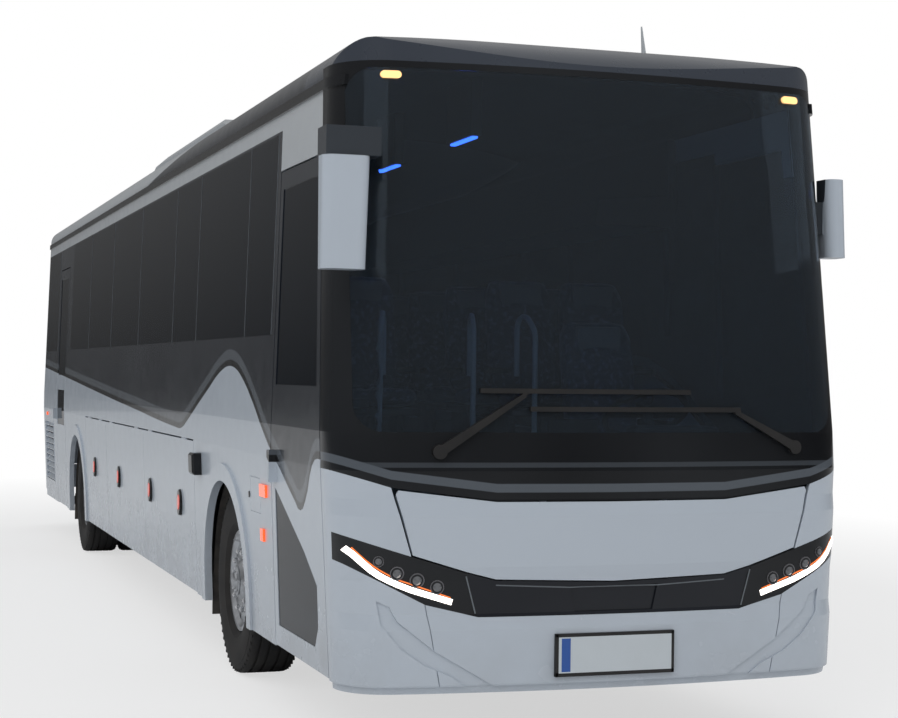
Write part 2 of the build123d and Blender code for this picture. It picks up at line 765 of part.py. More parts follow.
def louvre_set():
    """Frame with leaning slats that fills the opening in the side panel."""
    start, end = LOUVRE_SPAN
    low, high = LOUVRE_LOW_Z, LOUVRE_HIGH_Z
    rim = 14
    pitch = (high - low - rim) / SLATS
    with BuildPart() as grille:
        add(side_band(low, high, start, end, PANEL, proud=2))
        add(side_band(low + rim, high - rim, start + rim, end - rim, 2 * PANEL, proud=10), mode=Mode.SUBTRACT)
        with BuildSketch(Plane.XZ.offset(-back(end - rim / 2))):
            for number in range(SLATS):
                z = low + rim / 2 + pitch * (number + 0.25)
                x = half_width(z)
                Polygon((x, z), (x, z + 7), (x - PANEL + 2, z + 46), (x - PANEL + 2, z + 39), align=None)
        extrude(amount=end - start - rim)
    return grille.part


with BuildPart() as louvres:
    add(louvre_set())
    add(on_right(louvre_set()))
save(louvres.part, "louvres")


def moulding(axle_y):
    centre = axle_y - FRONT_Y
    reach = ARCH_RADIUS + MOULDING_WIDTH
    with BuildPart() as ring:
        add(side_band(SKIRT_Z, BELT_Z, centre - reach - 50, centre + reach + 50,
                      MOULDING_PROUD, proud=MOULDING_PROUD))
        add(arch_prism(axle_y, reach, SKIRT_Z, 1000, 1400), mode=Mode.INTERSECT)
        add(arch_prism(axle_y, ARCH_RADIUS, SKIRT_Z - 50, 1000, 1400), mode=Mode.SUBTRACT)
    return ring.part


with BuildPart() as arch_mouldings:
    for axle_y in (FRONT_AXLE_Y, REAR_AXLE_Y):
        add(moulding(axle_y))
        add(on_right(moulding(axle_y)))
save(arch_mouldings.part, "arch_mouldings")

# Liners over the wheels, with an inner wall above the axle
LINER_INNER_X = 500
LINER_OUTER_X = 1195
MUD_FLAP = (300, 12)


def liner(axle_y):
    with BuildPart() as cover:
        add(arch_prism(axle_y, LINER_RADIUS, 420, LINER_INNER_X, LINER_OUTER_X))
        add(arch_prism(axle_y, LINER_RADIUS - LINER_SKIN, 300, LINER_INNER_X + LINER_SKIN,
                       LINER_OUTER_X + 10), mode=Mode.SUBTRACT)
        with BuildSketch(Plane.XY.offset(300)):
            with Locations((LINER_INNER_X, axle_y)):
                Rectangle(4 * LINER_SKIN, 2 * LINER_RADIUS + 50)
        extrude(amount=RAIL_LOW_Z + 40 - 300, mode=Mode.SUBTRACT)
        with BuildSketch(Plane.XY.offset(250)):
            with Locations((1050, axle_y + LINER_RADIUS - LINER_SKIN / 2)):
                Rectangle(MUD_FLAP[0], MUD_FLAP[1])
        extrude(amount=ARCH_Z - 250)
    return cover.part


with BuildPart() as wheel_housings:
    for axle_y in (FRONT_AXLE_Y, REAR_AXLE_Y):
        add(liner(axle_y))
        add(on_right(liner(axle_y)))
save(wheel_housings.part, "wheel_housings")


# Passenger deck in panels, waist rails and driver's platform
RAIL_X = half_width(BELT_Z) - WALL
LOW_RAIL_X = half_width(PLATFORM_LOW_Z) - PANEL - TOUCH
PLATFORM_START = 430
WAIST_X = 1180
WAIST_TOP_Z = 1340
STEP_TOP_X = -640
REAR_STEP_TOP_X = -455
RISER = 30
right_panels = (
    (-WAIST_X + TOUCH, STEP_TOP_X - TOUCH, FRONT_DOOR[1] + 30, REAR_DOOR[0] - DOOR_GAP),
    (STEP_TOP_X, REAR_STEP_TOP_X - TOUCH, DECK_START + RISER + TOUCH, REAR_DOOR[0] - DOOR_GAP),
    (-WAIST_X + TOUCH, REAR_STEP_TOP_X - TOUCH, REAR_DOOR[1] + DOOR_GAP, TAIL_START),
)
right_waists = ((FRONT_DOOR[1] + 30, REAR_DOOR[0] - DOOR_GAP), (REAR_DOOR[1] + DOOR_GAP, TAIL_START))
with BuildPart() as floor_deck:
    deck_edge = WAIST_X - TOUCH
    box_between((REAR_STEP_TOP_X, back(DECK_START + RISER + TOUCH), DECK_LOW_Z), (deck_edge, back(TAIL_START), DECK_TOP_Z))
    for x_low, x_high, start, end in right_panels:
        box_between((x_low, back(start), DECK_LOW_Z), (x_high, back(end), DECK_TOP_Z))
    box_between((STEP_TOP_X, back(PLATFORM_START), PLATFORM_LOW_Z), (deck_edge, back(DECK_START - TOUCH), PLATFORM_TOP_Z))
    box_between((STEP_TOP_X, back(DECK_START), PLATFORM_LOW_Z), (deck_edge, back(DECK_START + RISER), DECK_TOP_Z))
    box_between((WAIST_X, back(PLATFORM_START), PLATFORM_LOW_Z), (LOW_RAIL_X, back(DECK_START + RISER), WAIST_TOP_Z))
    box_between((WAIST_X, back(PLATFORM_START), DECK_LOW_Z), (RAIL_X, back(DECK_START + RISER), WAIST_TOP_Z))
    box_between((WAIST_X, back(DECK_START + RISER + TOUCH), DECK_LOW_Z), (RAIL_X, back(TAIL_START), WAIST_TOP_Z))
    for start, end in right_waists:
        box_between((-RAIL_X, back(start), DECK_LOW_Z), (-WAIST_X, back(end), WAIST_TOP_Z))
save(floor_deck.part, "floor_deck")

# Entrance steps, as a bent sheet: outer edge of each tread from the door inwards, tread height
STEP_SHEET = 30
FRONT_STEPS = ((-1190, 400), (-915, 630), (STEP_TOP_X - TOUCH, PLATFORM_TOP_Z))
REAR_STEPS = ((-1190, 400), (-945, 655), (-700, 910), (REAR_STEP_TOP_X - TOUCH, DECK_TOP_Z))


def flight(steps, start, end):
    """Stepped sheet between two stations, its last riser meeting the floor."""
    last_x, last_z = steps[-1]
    corners = [steps[0]]
    for (x, z), (x_next, z_next) in zip(steps, steps[1:]):
        corners += [(x_next - STEP_SHEET, z), (x_next - STEP_SHEET, z_next)]
    corners.append((last_x, last_z))
    for (x, z), (x_next, z_next) in reversed(list(zip(steps, steps[1:]))):
        corners += [(x_next, z - STEP_SHEET), (x, z - STEP_SHEET)]
    with BuildPart() as stairs:
        with BuildSketch(Plane.XZ.offset(-back(end))):
            Polygon(*corners, align=None)
        extrude(amount=end - start)
    return stairs.part


# Door posts: foot bearing on the lowest tread
DOOR_PIN_X = -1165
DOOR_PIVOT_IN = 150
POST_RADIUS = 20
BEARING = (28, 34)
POST_PLACES = (back(FRONT_DOOR[0] + DOOR_PIVOT_IN), back(REAR_DOOR[1] - DOOR_PIVOT_IN))
with BuildPart() as entrance_steps:
    add(flight(FRONT_STEPS, FRONT_DOOR[0] + 20, FRONT_DOOR[1]))
    add(flight(REAR_STEPS, REAR_DOOR[0] - DOOR_GAP + TOUCH, REAR_DOOR[1] + DOOR_GAP - TOUCH))
    with BuildSketch(Plane.XY.offset(FRONT_STEPS[0][1])):
        for post_y in POST_PLACES:
            with Locations((DOOR_PIN_X, post_y)):
                Circle(BEARING[0])
                Circle(POST_RADIUS + TOUCH, mode=Mode.SUBTRACT)
    extrude(amount=BEARING[1])
save(entrance_steps.part, "entrance_steps")

# Underframe: rails, cross members and posts, with the luggage bay between the axles,
# the members laid against each other
RAIL_MID_X = 420
RAIL_WIDTH = 80
TUBE = 60
CROSS_REACH = 1180
FRONT_CROSS = (1850, 3525)
REAR_CROSS = (9050, 10520, 12600)
BAY_FRAMES = (3590, 5582, 7610, 8955)
PLATFORM_STUBS = (450, 1500)
BAY_FLOOR = (350, 400)
# Towing eye under the front beam: place across, behind the front, height, thickness
BULKHEAD = 30
CRASH_BEAM = (600, 88, 500, 740)
BEAM_REAR = 130
TOW_LUG = (450, 180, 32, 40)
TOW_BORE = 18
with BuildPart() as underframe:
    cross_low = DECK_LOW_Z - TUBE
    bay_end = BAY[1] - 5
    for side in (-1, 1):
        rail_x = sorted((side * (RAIL_MID_X - RAIL_WIDTH / 2), side * (RAIL_MID_X + RAIL_WIDTH / 2)))
        post_x = sorted((side * CROSS_REACH, side * (CROSS_REACH - TUBE)))
        for start, end in ((BEAM_REAR, BAY_FRAMES[0] - TOUCH), (bay_end + TOUCH, 12660)):
            box_between((rail_x[0], back(start), RAIL_LOW_Z), (rail_x[1], back(end), RAIL_TOP_Z))
        for station in PLATFORM_STUBS:
            box_between((rail_x[0], back(station), RAIL_TOP_Z + TOUCH),
                        (rail_x[1], back(station + TUBE), PLATFORM_LOW_Z - TOUCH))
        for station in FRONT_CROSS + REAR_CROSS:
            top = DECK_LOW_Z - TOUCH if station == REAR_CROSS[0] else cross_low - TOUCH
            box_between((rail_x[0], back(station), RAIL_TOP_Z + TOUCH), (rail_x[1], back(station + TUBE), top))
        for station in BAY_FRAMES:
            box_between((post_x[0], back(station), BAY_FLOOR[1] + TOUCH),
                        (post_x[1], back(station + TUBE), cross_low - TOUCH))
        box_between((post_x[0], back(BAY_FRAMES[0]), cross_low), (post_x[1], back(bay_end), DECK_LOW_Z - TOUCH))
    for station in FRONT_CROSS + REAR_CROSS[1:] + BAY_FRAMES:
        reach = CROSS_REACH - TUBE - TOUCH if station in BAY_FRAMES else CROSS_REACH
        box_between((-reach, back(station), cross_low), (reach, back(station + TUBE), DECK_LOW_Z - TOUCH))
    box_between((-1190, back(BAY_FRAMES[0]), BAY_FLOOR[0]), (1190, back(bay_end), BAY_FLOOR[1]))
    wall_reach = CROSS_REACH - TUBE - TOUCH
    for start in (BAY_FRAMES[0], bay_end - BULKHEAD):
        box_between((-wall_reach, back(start), BAY_FLOOR[1] + TOUCH),
                    (wall_reach, back(start + BULKHEAD), cross_low - TOUCH))
    beam_half, beam_front, beam_low, beam_high = CRASH_BEAM
    box_between((-beam_half, back(beam_front), beam_low), (beam_half, back(BEAM_REAR - TOUCH), beam_high))
    with BuildSketch(Plane.XY.offset(beam_low)):
        with Locations((TOW_LUG[0], back(TOW_LUG[1]))):
            Circle(TOW_LUG[2])
        with Locations((TOW_LUG[0], back((TOW_LUG[1] + beam_front + 20) / 2))):
            Rectangle(2 * TOW_LUG[2], TOW_LUG[1] - beam_front - 20)
        with Locations((TOW_LUG[0], back(TOW_LUG[1]))):
            Circle(TOW_BORE, mode=Mode.SUBTRACT)
    extrude(amount=TOW_LUG[3])
save(underframe.part, "underframe")

# Axles: front beam with kingpin eyes, rear housing with the final drive
HUB_Z = TYRE_RADIUS
KINGPIN_X = 980
KINGPIN_RADIUS = 22
EYE_HEIGHT = 110
HUB_END = 1030
TWIN_BORE = 80
BEAM_LOW_Z = 472
BEAM_HIGH_Z = 572
with BuildPart() as axles:
    box_between((-KINGPIN_X, FRONT_AXLE_Y - 50, BEAM_LOW_Z), (KINGPIN_X, FRONT_AXLE_Y + 50, BEAM_HIGH_Z))
    with BuildSketch(Plane.XY.offset(HUB_Z - EYE_HEIGHT / 2)):
        with Locations((KINGPIN_X, FRONT_AXLE_Y), (-KINGPIN_X, FRONT_AXLE_Y)):
            Circle(50)
    extrude(amount=EYE_HEIGHT)
    with BuildSketch(Plane.XY.offset(HUB_Z - 200)):
        with Locations((KINGPIN_X, FRONT_AXLE_Y), (-KINGPIN_X, FRONT_AXLE_Y)):
            Circle(KINGPIN_RADIUS + TOUCH)
    extrude(amount=400, mode=Mode.SUBTRACT)
    for side in (-1, 1):
        x_low = side * RAIL_MID_X - RAIL_WIDTH / 2
        x_high = side * RAIL_MID_X + RAIL_WIDTH / 2
        box_between((x_low, FRONT_AXLE_Y - 90, BEAM_HIGH_Z - 20), (x_high, FRONT_AXLE_Y + 90, RAIL_LOW_Z))
        box_between((x_low, REAR_AXLE_Y - 110, HUB_Z + 20), (x_high, REAR_AXLE_Y + 110, RAIL_LOW_Z))
    with BuildSketch(Plane.YZ.offset(-HUB_END)):
        with Locations((REAR_AXLE_Y, HUB_Z)):
            Circle(TWIN_BORE - TOUCH)
    extrude(amount=2 * HUB_END)
    with BuildSketch(Plane.YZ.offset(-170)):
        with Locations((REAR_AXLE_Y, HUB_Z)):
            Circle(215)
    extrude(amount=340)
save(axles.part, "axles")

# Knuckles: lugs above and below the beam's eye, kingpin, spindle and steering arm
LUG_THICK = 30
LUG_GAP = 5
SPINDLE_RADIUS = 45
SPINDLE_END_X = 1175
ARM_LENGTH = 160
ARM_Z = HUB_Z - EYE_HEIGHT / 2 - LUG_GAP - LUG_THICK
ROD_PIN_RADIUS = 12


def knuckle():
    with BuildPart() as part:
        with BuildSketch(Plane.XY.offset(ARM_Z)):
            with Locations((KINGPIN_X, FRONT_AXLE_Y)):
                Circle(KINGPIN_RADIUS)
        extrude(amount=EYE_HEIGHT + 2 * LUG_GAP + 2 * LUG_THICK)
        for low in (ARM_Z, HUB_Z + EYE_HEIGHT / 2 + LUG_GAP):
            with BuildSketch(Plane.XY.offset(low)):
                with Locations((KINGPIN_X, FRONT_AXLE_Y)):
                    Circle(48)
                with Locations((KINGPIN_X + 45, FRONT_AXLE_Y)):
                    Rectangle(90, 96)
            extrude(amount=LUG_THICK)
        box_between((KINGPIN_X + 62, FRONT_AXLE_Y - 48, ARM_Z), (KINGPIN_X + 90, FRONT_AXLE_Y + 48, ARM_Z + 180))
        with BuildSketch(Plane.YZ.offset(KINGPIN_X + 80)):
            with Locations((FRONT_AXLE_Y, HUB_Z)):
                Circle(SPINDLE_RADIUS)
        extrude(amount=SPINDLE_END_X - KINGPIN_X - 80)
        box_between((KINGPIN_X - 18, FRONT_AXLE_Y + 30, ARM_Z), (KINGPIN_X + 18, FRONT_AXLE_Y + ARM_LENGTH, ARM_Z + 25))
        with BuildSketch(Plane.XY.offset(ARM_Z - 50)):
            with Locations((KINGPIN_X, FRONT_AXLE_Y + ARM_LENGTH)):
                Circle(ROD_PIN_RADIUS)
        extrude(amount=60)
    return part.part


knuckle_left = knuckle()
save(knuckle_left, "knuckle_left")
knuckle_right = on_right(knuckle())
save(knuckle_right, "knuckle_right")

# Track rod between the steering arms, its eyes around their pins
ROD_EYE_HEIGHT = 36
with BuildPart() as track_rod:
    rod_z = ARM_Z - 5 - ROD_EYE_HEIGHT / 2
    with BuildSketch(Plane.XY.offset(rod_z - ROD_EYE_HEIGHT / 2)):
        with Locations((KINGPIN_X, FRONT_AXLE_Y + ARM_LENGTH), (-KINGPIN_X, FRONT_AXLE_Y + ARM_LENGTH)):
            Circle(28)
        with Locations((0, FRONT_AXLE_Y + ARM_LENGTH)):
            Rectangle(2 * KINGPIN_X - 40, 30)
        with Locations((KINGPIN_X, FRONT_AXLE_Y + ARM_LENGTH), (-KINGPIN_X, FRONT_AXLE_Y + ARM_LENGTH)):
            Circle(ROD_PIN_RADIUS + TOUCH, mode=Mode.SUBTRACT)
    extrude(amount=ROD_EYE_HEIGHT)
save(track_rod.part, "track_rod")

# Tyre section: radius, distance from the tyre's middle plane
RIM_RADIUS = 286
TYRE_SECTION = (
    (RIM_RADIUS, 100), (340, 140), (430, 149), (500, 138), (TYRE_RADIUS, 118),
)


def tyre(middle_x, axle_y):
    half = list(TYRE_SECTION)
    outline = [(middle_x + w, HUB_Z + r) for r, w in half] + [(middle_x - w, HUB_Z + r) for r, w in reversed(half)]
    with BuildPart() as ring:
        with BuildSketch(Plane.XZ.offset(-axle_y)):
            Polygon(*outline, align=None)
        revolve(axis=Axis((0, axle_y, HUB_Z), (1, 0, 0)))
    return ring.part


# Rim section: distance outwards from the tyre's middle plane, radius
RIM_BARREL = 252
FRONT_RIM = (
    (-112, 285.7), (-112, 268), (-90, RIM_BARREL), (62, RIM_BARREL), (80, 200), (84, 120), (84, SPINDLE_RADIUS + TOUCH),
    (128, SPINDLE_RADIUS + TOUCH), (128, 90), (112, 112), (100, 120), (96, 200), (92, 240), (114, 262), (114, 285.7),
)


HAND_HOLES = 10
HAND_HOLE_RADIUS = 17
HAND_HOLE_CIRCLE = 222


def wheel_rim(middle_x, axle_y, section, disc_x):
    outline = [(middle_x + x, HUB_Z + r) for x, r in section]
    with BuildPart() as rim:
        with BuildSketch(Plane.XZ.offset(-axle_y)):
            Polygon(*outline, align=None)
        revolve(axis=Axis((0, axle_y, HUB_Z), (1, 0, 0)))
        with BuildSketch(Plane.YZ.offset(middle_x + disc_x)):
            with Locations((axle_y, HUB_Z)):
                with PolarLocations(HAND_HOLE_CIRCLE, HAND_HOLES):
                    RegularPolygon(HAND_HOLE_RADIUS, 8)
        extrude(amount=60, mode=Mode.SUBTRACT)
    return rim.part


# Twin rims: one turned body with two barrels, from the inner wheel's middle plane
TWIN_RIM = (
    (-112, 285.7), (-112, 262), (150, RIM_BARREL), (158, 200), (158, 130), (20, 120), (-100, 120), (-100, TWIN_BORE),
    (300, TWIN_BORE), (300, 125), (176, 130), (176, 200), (185, RIM_BARREL), (TWIN_PITCH + 112, 262),
    (TWIN_PITCH + 112, 285.7), (TWIN_PITCH - 112, 285.7), (TWIN_PITCH - 112, 270), (112, 270), (112, 285.7),
)
TWIN_INNER_X = TRACK_HALF - TWIN_PITCH
left_wheels = (
    ("front", FRONT_AXLE_Y, (TRACK_HALF,), FRONT_RIM, TRACK_HALF, 55),
    ("rear", REAR_AXLE_Y, (TWIN_INNER_X, TRACK_HALF), TWIN_RIM, TWIN_INNER_X, 145),
)
for place, axle_y, middles, section, rim_x, disc_x in left_wheels:
    with BuildPart() as tyres:
        for middle_x in middles:
            add(tyre(middle_x, axle_y))
    rim = wheel_rim(rim_x, axle_y, section, disc_x)
    for side, turn in (("left", lambda s: s), ("right", on_right)):
        save(turn(tyres.part), f"tyre_{place}_{side}")
        save(turn(rim), f"rim_{place}_{side}")

# Luggage flaps, hinged along the belt line
FLAP_LAMPS = (4100, 5320, 6900, 8380)
FLAP_LAMP_Z = 865
FLAP_GAP = 5.6
for number, (start, end) in enumerate(zip(FLAP_SEAMS, FLAP_SEAMS[1:]), 1):
    front_gap = FLAP_GAP if start == BAY[0] else FLAP_GAP / 2
    rear_gap = FLAP_GAP if end == BAY[1] else FLAP_GAP / 2
    with BuildPart() as flap:
        add(side_band(FLAP_LOW_Z, BELT_Z - BELT_GAP, start + front_gap, end - rear_gap, PANEL))
        for station in barrel_starts(start, end):
            add(hinge_barrel(station, -1))
        for lamp in FLAP_LAMPS:
            if start < lamp < end:
                with BuildSketch(Plane.YZ.offset(1235)):
                    with Locations((back(lamp), FLAP_LAMP_Z)):
                        Ellipse(55, 82)
                extrude(amount=34)
    save(flap.part, f"flap_left_{number}")
    save(on_right(flap.part), f"flap_right_{number}")

# Doors: leaf with two glazed openings, arm with an upper and a lower bow on one post
LEAF = 40
DOOR_RADIUS = 500
ARM_BOW = (120, 150)
ARM_HEIGHTS = (1080, 1575)
ARM_THICK = 36
ARM_WIDTH = 34
UPPER_LIGHT = (1650, 2625)
DOOR_FRAME = 60
# Lower light of the front door: distance behind the front, height
FRONT_LOWER_LIGHT = ((1340, 1141), (760, 873), (530, 738), (530, 547), (600, 450), (1340, 450))


def door_light(start, end, low, high):
    """Upper glazed opening of a door, through the whole leaf."""
    with BuildPart() as light:
        add(side_band(low, high, start + DOOR_FRAME, end - DOOR_FRAME, 3 * LEAF, LEAF))
        add(mask_region(DOOR_GAP + DOOR_FRAME), mode=Mode.SUBTRACT)
    return light.part


def light_prism(points):
    with BuildPart() as prism:
        with BuildSketch(Plane.YZ.offset(1100)):
            Polygon(*[(back(distance), z) for distance, z in points], align=None)
        extrude(amount=300)
    return prism.part


def door_frame(span, lower_light):
    start, end = span
    with BuildPart() as frame:
        add(side_band(DOOR_LOW_Z, DOOR_HIGH_Z, start, end, LEAF))
        add(mask_region(DOOR_GAP), mode=Mode.SUBTRACT)
        add(door_light(start, end, *UPPER_LIGHT), mode=Mode.SUBTRACT)
        add(light_prism(lower_light), mode=Mode.SUBTRACT)
    return frame.part


def door_glass(span, lower_light):
    start, end = span
    with BuildPart() as glass:
        add(side_band(DOOR_LOW_Z, DOOR_HIGH_Z, start, end, GLASS, proud=-4))
        with BuildPart(mode=Mode.PRIVATE) as shape:
            add(door_light(start, end, *UPPER_LIGHT))
            add(light_prism(lower_light))
        add(shape.part, mode=Mode.INTERSECT)
    return glass.part


def door_arm(pivot_y, toward):
    """Post and two bows; toward is +1 where the leaf's pin lies behind the post."""
    with BuildPart() as arm:
        with BuildSketch(Plane.XY.offset(FRONT_STEPS[0][1] + TOUCH)):
            with Locations((DOOR_PIN_X, pivot_y)):
                Circle(POST_RADIUS)
        extrude(amount=ARM_HEIGHTS[1] + 60 - FRONT_STEPS[0][1])
        for height in ARM_HEIGHTS:
            with BuildSketch(Plane.XY.offset(height - ARM_THICK / 2)):
                with BuildLine():
                    bow = Polyline(
                        (DOOR_PIN_X, pivot_y),
                        (DOOR_PIN_X + ARM_BOW[1], pivot_y + toward * ARM_BOW[0]),
                        (DOOR_PIN_X, pivot_y + toward * DOOR_RADIUS),
                    )
                trace(bow, ARM_WIDTH)
                with Locations((DOOR_PIN_X, pivot_y + toward * DOOR_RADIUS)):
                    Circle(24)
                    Circle(10 + TOUCH, mode=Mode.SUBTRACT)
            extrude(amount=ARM_THICK)
    return arm.part


def leaf_brackets(pin_y):
    """Forks on the leaf's inner face, each with the pin that an arm's eye turns on."""
    with BuildPart() as forks:
        for height in ARM_HEIGHTS:
            for low in (height - ARM_THICK / 2 - 5 - 14, height + ARM_THICK / 2 + 5):
                inner_face = -(half_width(height) - LEAF) - 2
                box_between((inner_face, pin_y - 30, low), (DOOR_PIN_X + 25, pin_y + 30, low + 14))
            with BuildSketch(Plane.XY.offset(height - ARM_THICK / 2 - 10)):
                with Locations((DOOR_PIN_X, pin_y)):
                    Circle(10)
            extrude(amount=ARM_THICK + 20)
    return forks.part


REAR_LOWER_LIGHT = ((10760, 1500), (10760, 1150), (11380, 1150), (11380, 1500))
# Handle on a door's outer face: start and end behind the front, low and high
FRONT_HANDLE = (1290, 1345, 1165, 1325)
REAR_HANDLE = (11385, 11420, 1200, 1310)
door_table = (
    ("front_door", FRONT_DOOR, FRONT_LOWER_LIGHT, POST_PLACES[0], 1, FRONT_HANDLE),
    ("rear_door", REAR_DOOR, REAR_LOWER_LIGHT, POST_PLACES[1], -1, REAR_HANDLE),
)
for name, span, light, pivot_y, toward, handle in door_table:
    with BuildPart() as leaf:
        add(on_right(door_frame(span, light)))
        add(leaf_brackets(pivot_y + toward * DOOR_RADIUS))
        box_between((-half_width(BELT_Z) - 38, back(handle[0]), handle[2]),
                    (-half_width(BELT_Z) + 12, back(handle[1]), handle[3]))
    save(leaf.part, name)
    save(on_right(door_glass(span, light)), f"{name}_glass")
    save(door_arm(pivot_y, toward), f"{name}_arm")

# Engine block, gearbox and drive shaft behind the rear axle
with BuildPart() as engine:
    box_between((-365, back(11480), 430), (365, back(12560), DECK_LOW_Z - TUBE))
    box_between((-210, back(10720), 420), (210, back(11480), 840))
    with BuildSketch(Plane.XZ.offset(-back(10720))):
        with Locations((0, HUB_Z)):
            Circle(55)
    extrude(amount=back(10720) - REAR_AXLE_Y - 215)
save(engine.part, "engine")

# Seats: side view of a double seat, distance behind its front edge and height above the floor
SEAT_SIDE = (
    (0, 330), (0, 440), (40, 465), (420, 430), (560, 1080), (600, 1130), (665, 1130),
    (680, 1080), (560, 400), (500, 330),
)
SEAT_WIDTH = 930
SEAT_X = 725
ROW_PITCH = 800
LEFT_ROWS = tuple(2050 + ROW_PITCH * n for n in range(13))
RIGHT_ROWS = tuple(2050 + ROW_PITCH * n for n in range(10)) + (11650,)
PEDESTAL = (260, 300)


def seat(mid_x, start, floor_z, width):
    with BuildPart() as piece:
        with BuildSketch(Plane.YZ.offset(mid_x - width / 2)):
            Polygon(*[(back(start + y), floor_z + z) for y, z in SEAT_SIDE], align=None)
        extrude(amount=width)
        box_between((mid_x - PEDESTAL[0] / 2, back(start + 120), floor_z),
                    (mid_x + PEDESTAL[0] / 2, back(start + 120 + PEDESTAL[1]), floor_z + 340))
    return piece.part


DRIVER_SEAT = (560, 1020, 500)
with BuildPart() as seats:
    for start in LEFT_ROWS:
        add(seat(SEAT_X, start, DECK_TOP_Z, SEAT_WIDTH))
    for start in RIGHT_ROWS:
        add(seat(-SEAT_X, start, DECK_TOP_Z, SEAT_WIDTH))
    add(seat(DRIVER_SEAT[0], DRIVER_SEAT[1], PLATFORM_TOP_Z, DRIVER_SEAT[2]))
save(seats.part, "seats")

# Dashboard with the steering wheel
DASH_SIDE = ((400, PLATFORM_TOP_Z), (400, 1400), (470, 1430), (700, 1400), (760, 1280), (640, 1150), (600, PLATFORM_TOP_Z))
WHEEL_CENTRE = (DRIVER_SEAT[0], 930, 1520)
with BuildPart() as dashboard:
    with BuildSketch(Plane.YZ.offset(STEP_TOP_X + 20)):
        Polygon(*[(back(y), z) for y, z in DASH_SIDE], align=None)
    extrude(amount=WAIST_X - STEP_TOP_X - 25)
    column = Plane(
        origin=(WHEEL_CENTRE[0], back(WHEEL_CENTRE[1]), WHEEL_CENTRE[2]), x_dir=(1, 0, 0), z_dir=(0, 0.55, 0.83),
    )
    with BuildSketch(column):
        Circle(30)
    extrude(amount=-330)
    with BuildSketch(column.offset(-12)):
        Circle(225)
        Circle(200, mode=Mode.SUBTRACT)
        Rectangle(410, 40)
    extrude(amount=24)
save(dashboard.part, "dashboard")

# Luggage racks under the roof on both sides
RACK_WALL_X = half_width(2700) - WALL - TOUCH
RACK_SIDE = ((1160, 2560), (RACK_WALL_X, 2700), (1170, 3062), (1120, 3062), (1130, 2740), (700, 2700), (680, 2560))
RACK_SPAN = (1900, 12500)
with BuildPart() as rack:
    with BuildSketch(Plane.XZ.offset(-back(RACK_SPAN[1]))):
        Polygon(*RACK_SIDE, align=None)
    extrude(amount=RACK_SPAN[1] - RACK_SPAN[0])
with BuildPart() as luggage_racks:
    add(rack.part)
    mirror(about=Plane.YZ)
save(luggage_racks.part, "luggage_racks")

# Mirrors: housing on a dark arm, right one ahead of the entrance, left one beside the window
with BuildPart() as mirrors:
    with BuildSketch(Plane.XY.offset(2160)):
        with Locations((-1275, back(75))):
            RectangleRounded(200, 130, 50)
    with BuildSketch(Plane.XY.offset(2650)):
        with Locations((-1269, back(75))):
            RectangleRounded(212, 150, 50)
    loft(ruled=True)
    with BuildPart(mode=Mode.PRIVATE) as arm_right:
        box_between((-1366, back(10), 2650), (-1120, back(160), 2775))
        box_between((-1250, back(160), 2670), (-1120, back(345), 2770))
        add(FRONT_OUTER, mode=Mode.SUBTRACT)
    add(arm_right.part)
    with BuildSketch(Plane.XY.offset(2306)):
        with Locations((1321, back(420))):
            RectangleRounded(108, 150, 45)
    with BuildSketch(Plane.XY.offset(2691)):
        with Locations((1310, back(420))):
            RectangleRounded(100, 150, 45)
    loft(ruled=True)
    with BuildPart(mode=Mode.PRIVATE) as arm_left:
        box_between((half_width(2500) - 60, back(400), 2420), (1290, back(440), 2580))
        add(FRONT_OUTER, mode=Mode.SUBTRACT)
    add(arm_left.part)
save(mirrors.part, "mirrors")

# Wipers, lying just in front of the glass: front-view points of arm and blade
WIPERS = (
    ((-823, 1370), (-430, 1623), (-636, 380, 1640)),
    ((939, 1387), (614, 1551), (-408, 642, 1560)),
)


def strip_outline(start, end, width_start, width_end):
    dx = end[0] - start[0]
    dz = end[1] - start[1]
    span = math.hypot(dx, dz)
    nx, nz = -dz / span, dx / span
    return [
        (start[0] + nx * width_start, start[1] + nz * width_start),
        (end[0] + nx * width_end, end[1] + nz * width_end),
        (end[0] - nx * width_end, end[1] - nz * width_end),
        (start[0] - nx * width_start, start[1] - nz * width_start),
    ]


wiper_layer = front_skin(-4, 26)
boss_layer = front_skin(0, 26)
with BuildPart() as wipers:
    for pivot, elbow, (blade_from, blade_to, blade_z) in WIPERS:
        with BuildPart(mode=Mode.PRIVATE) as blade:
            add(wiper_layer)
            with BuildPart(mode=Mode.PRIVATE) as outlines:
                add(front_prism(strip_outline(pivot, elbow, 22, 10)))
                add(front_prism(strip_outline((blade_from, blade_z), (blade_to, blade_z), 11, 11)))
                add(front_prism(strip_outline(elbow, (elbow[0], blade_z), 12, 12)))
            add(outlines.part, mode=Mode.INTERSECT)
        add(blade.part)
        with BuildPart(mode=Mode.PRIVATE) as boss:
            add(boss_layer)
            with BuildSketch(Plane.XZ.offset(-back(300))):
                with Locations(pivot):
                    Circle(32)
            extrude(amount=400, mode=Mode.INTERSECT)
        add(boss.part)
save(wipers.part, "wipers")

# Blank number plates
REAR_PLATE = (520, 110, 500)
with BuildPart() as plates:
    box_between((-PLATE_WIDTH / 2, FRONT_Y, PLATE_LOW_Z), (PLATE_WIDTH / 2, back(24), PLATE_LOW_Z + PLATE_HEIGHT))
    box_between((-REAR_PLATE[0] / 2, back(LENGTH - 60), REAR_PLATE[2]),
                (REAR_PLATE[0] / 2, back(LENGTH - 6), REAR_PLATE[2] + REAR_PLATE[1]))
    add(FRONT_OUTER, mode=Mode.SUBTRACT)
    add(REAR_OUTER, mode=Mode.SUBTRACT)
save(plates.part, "plates")

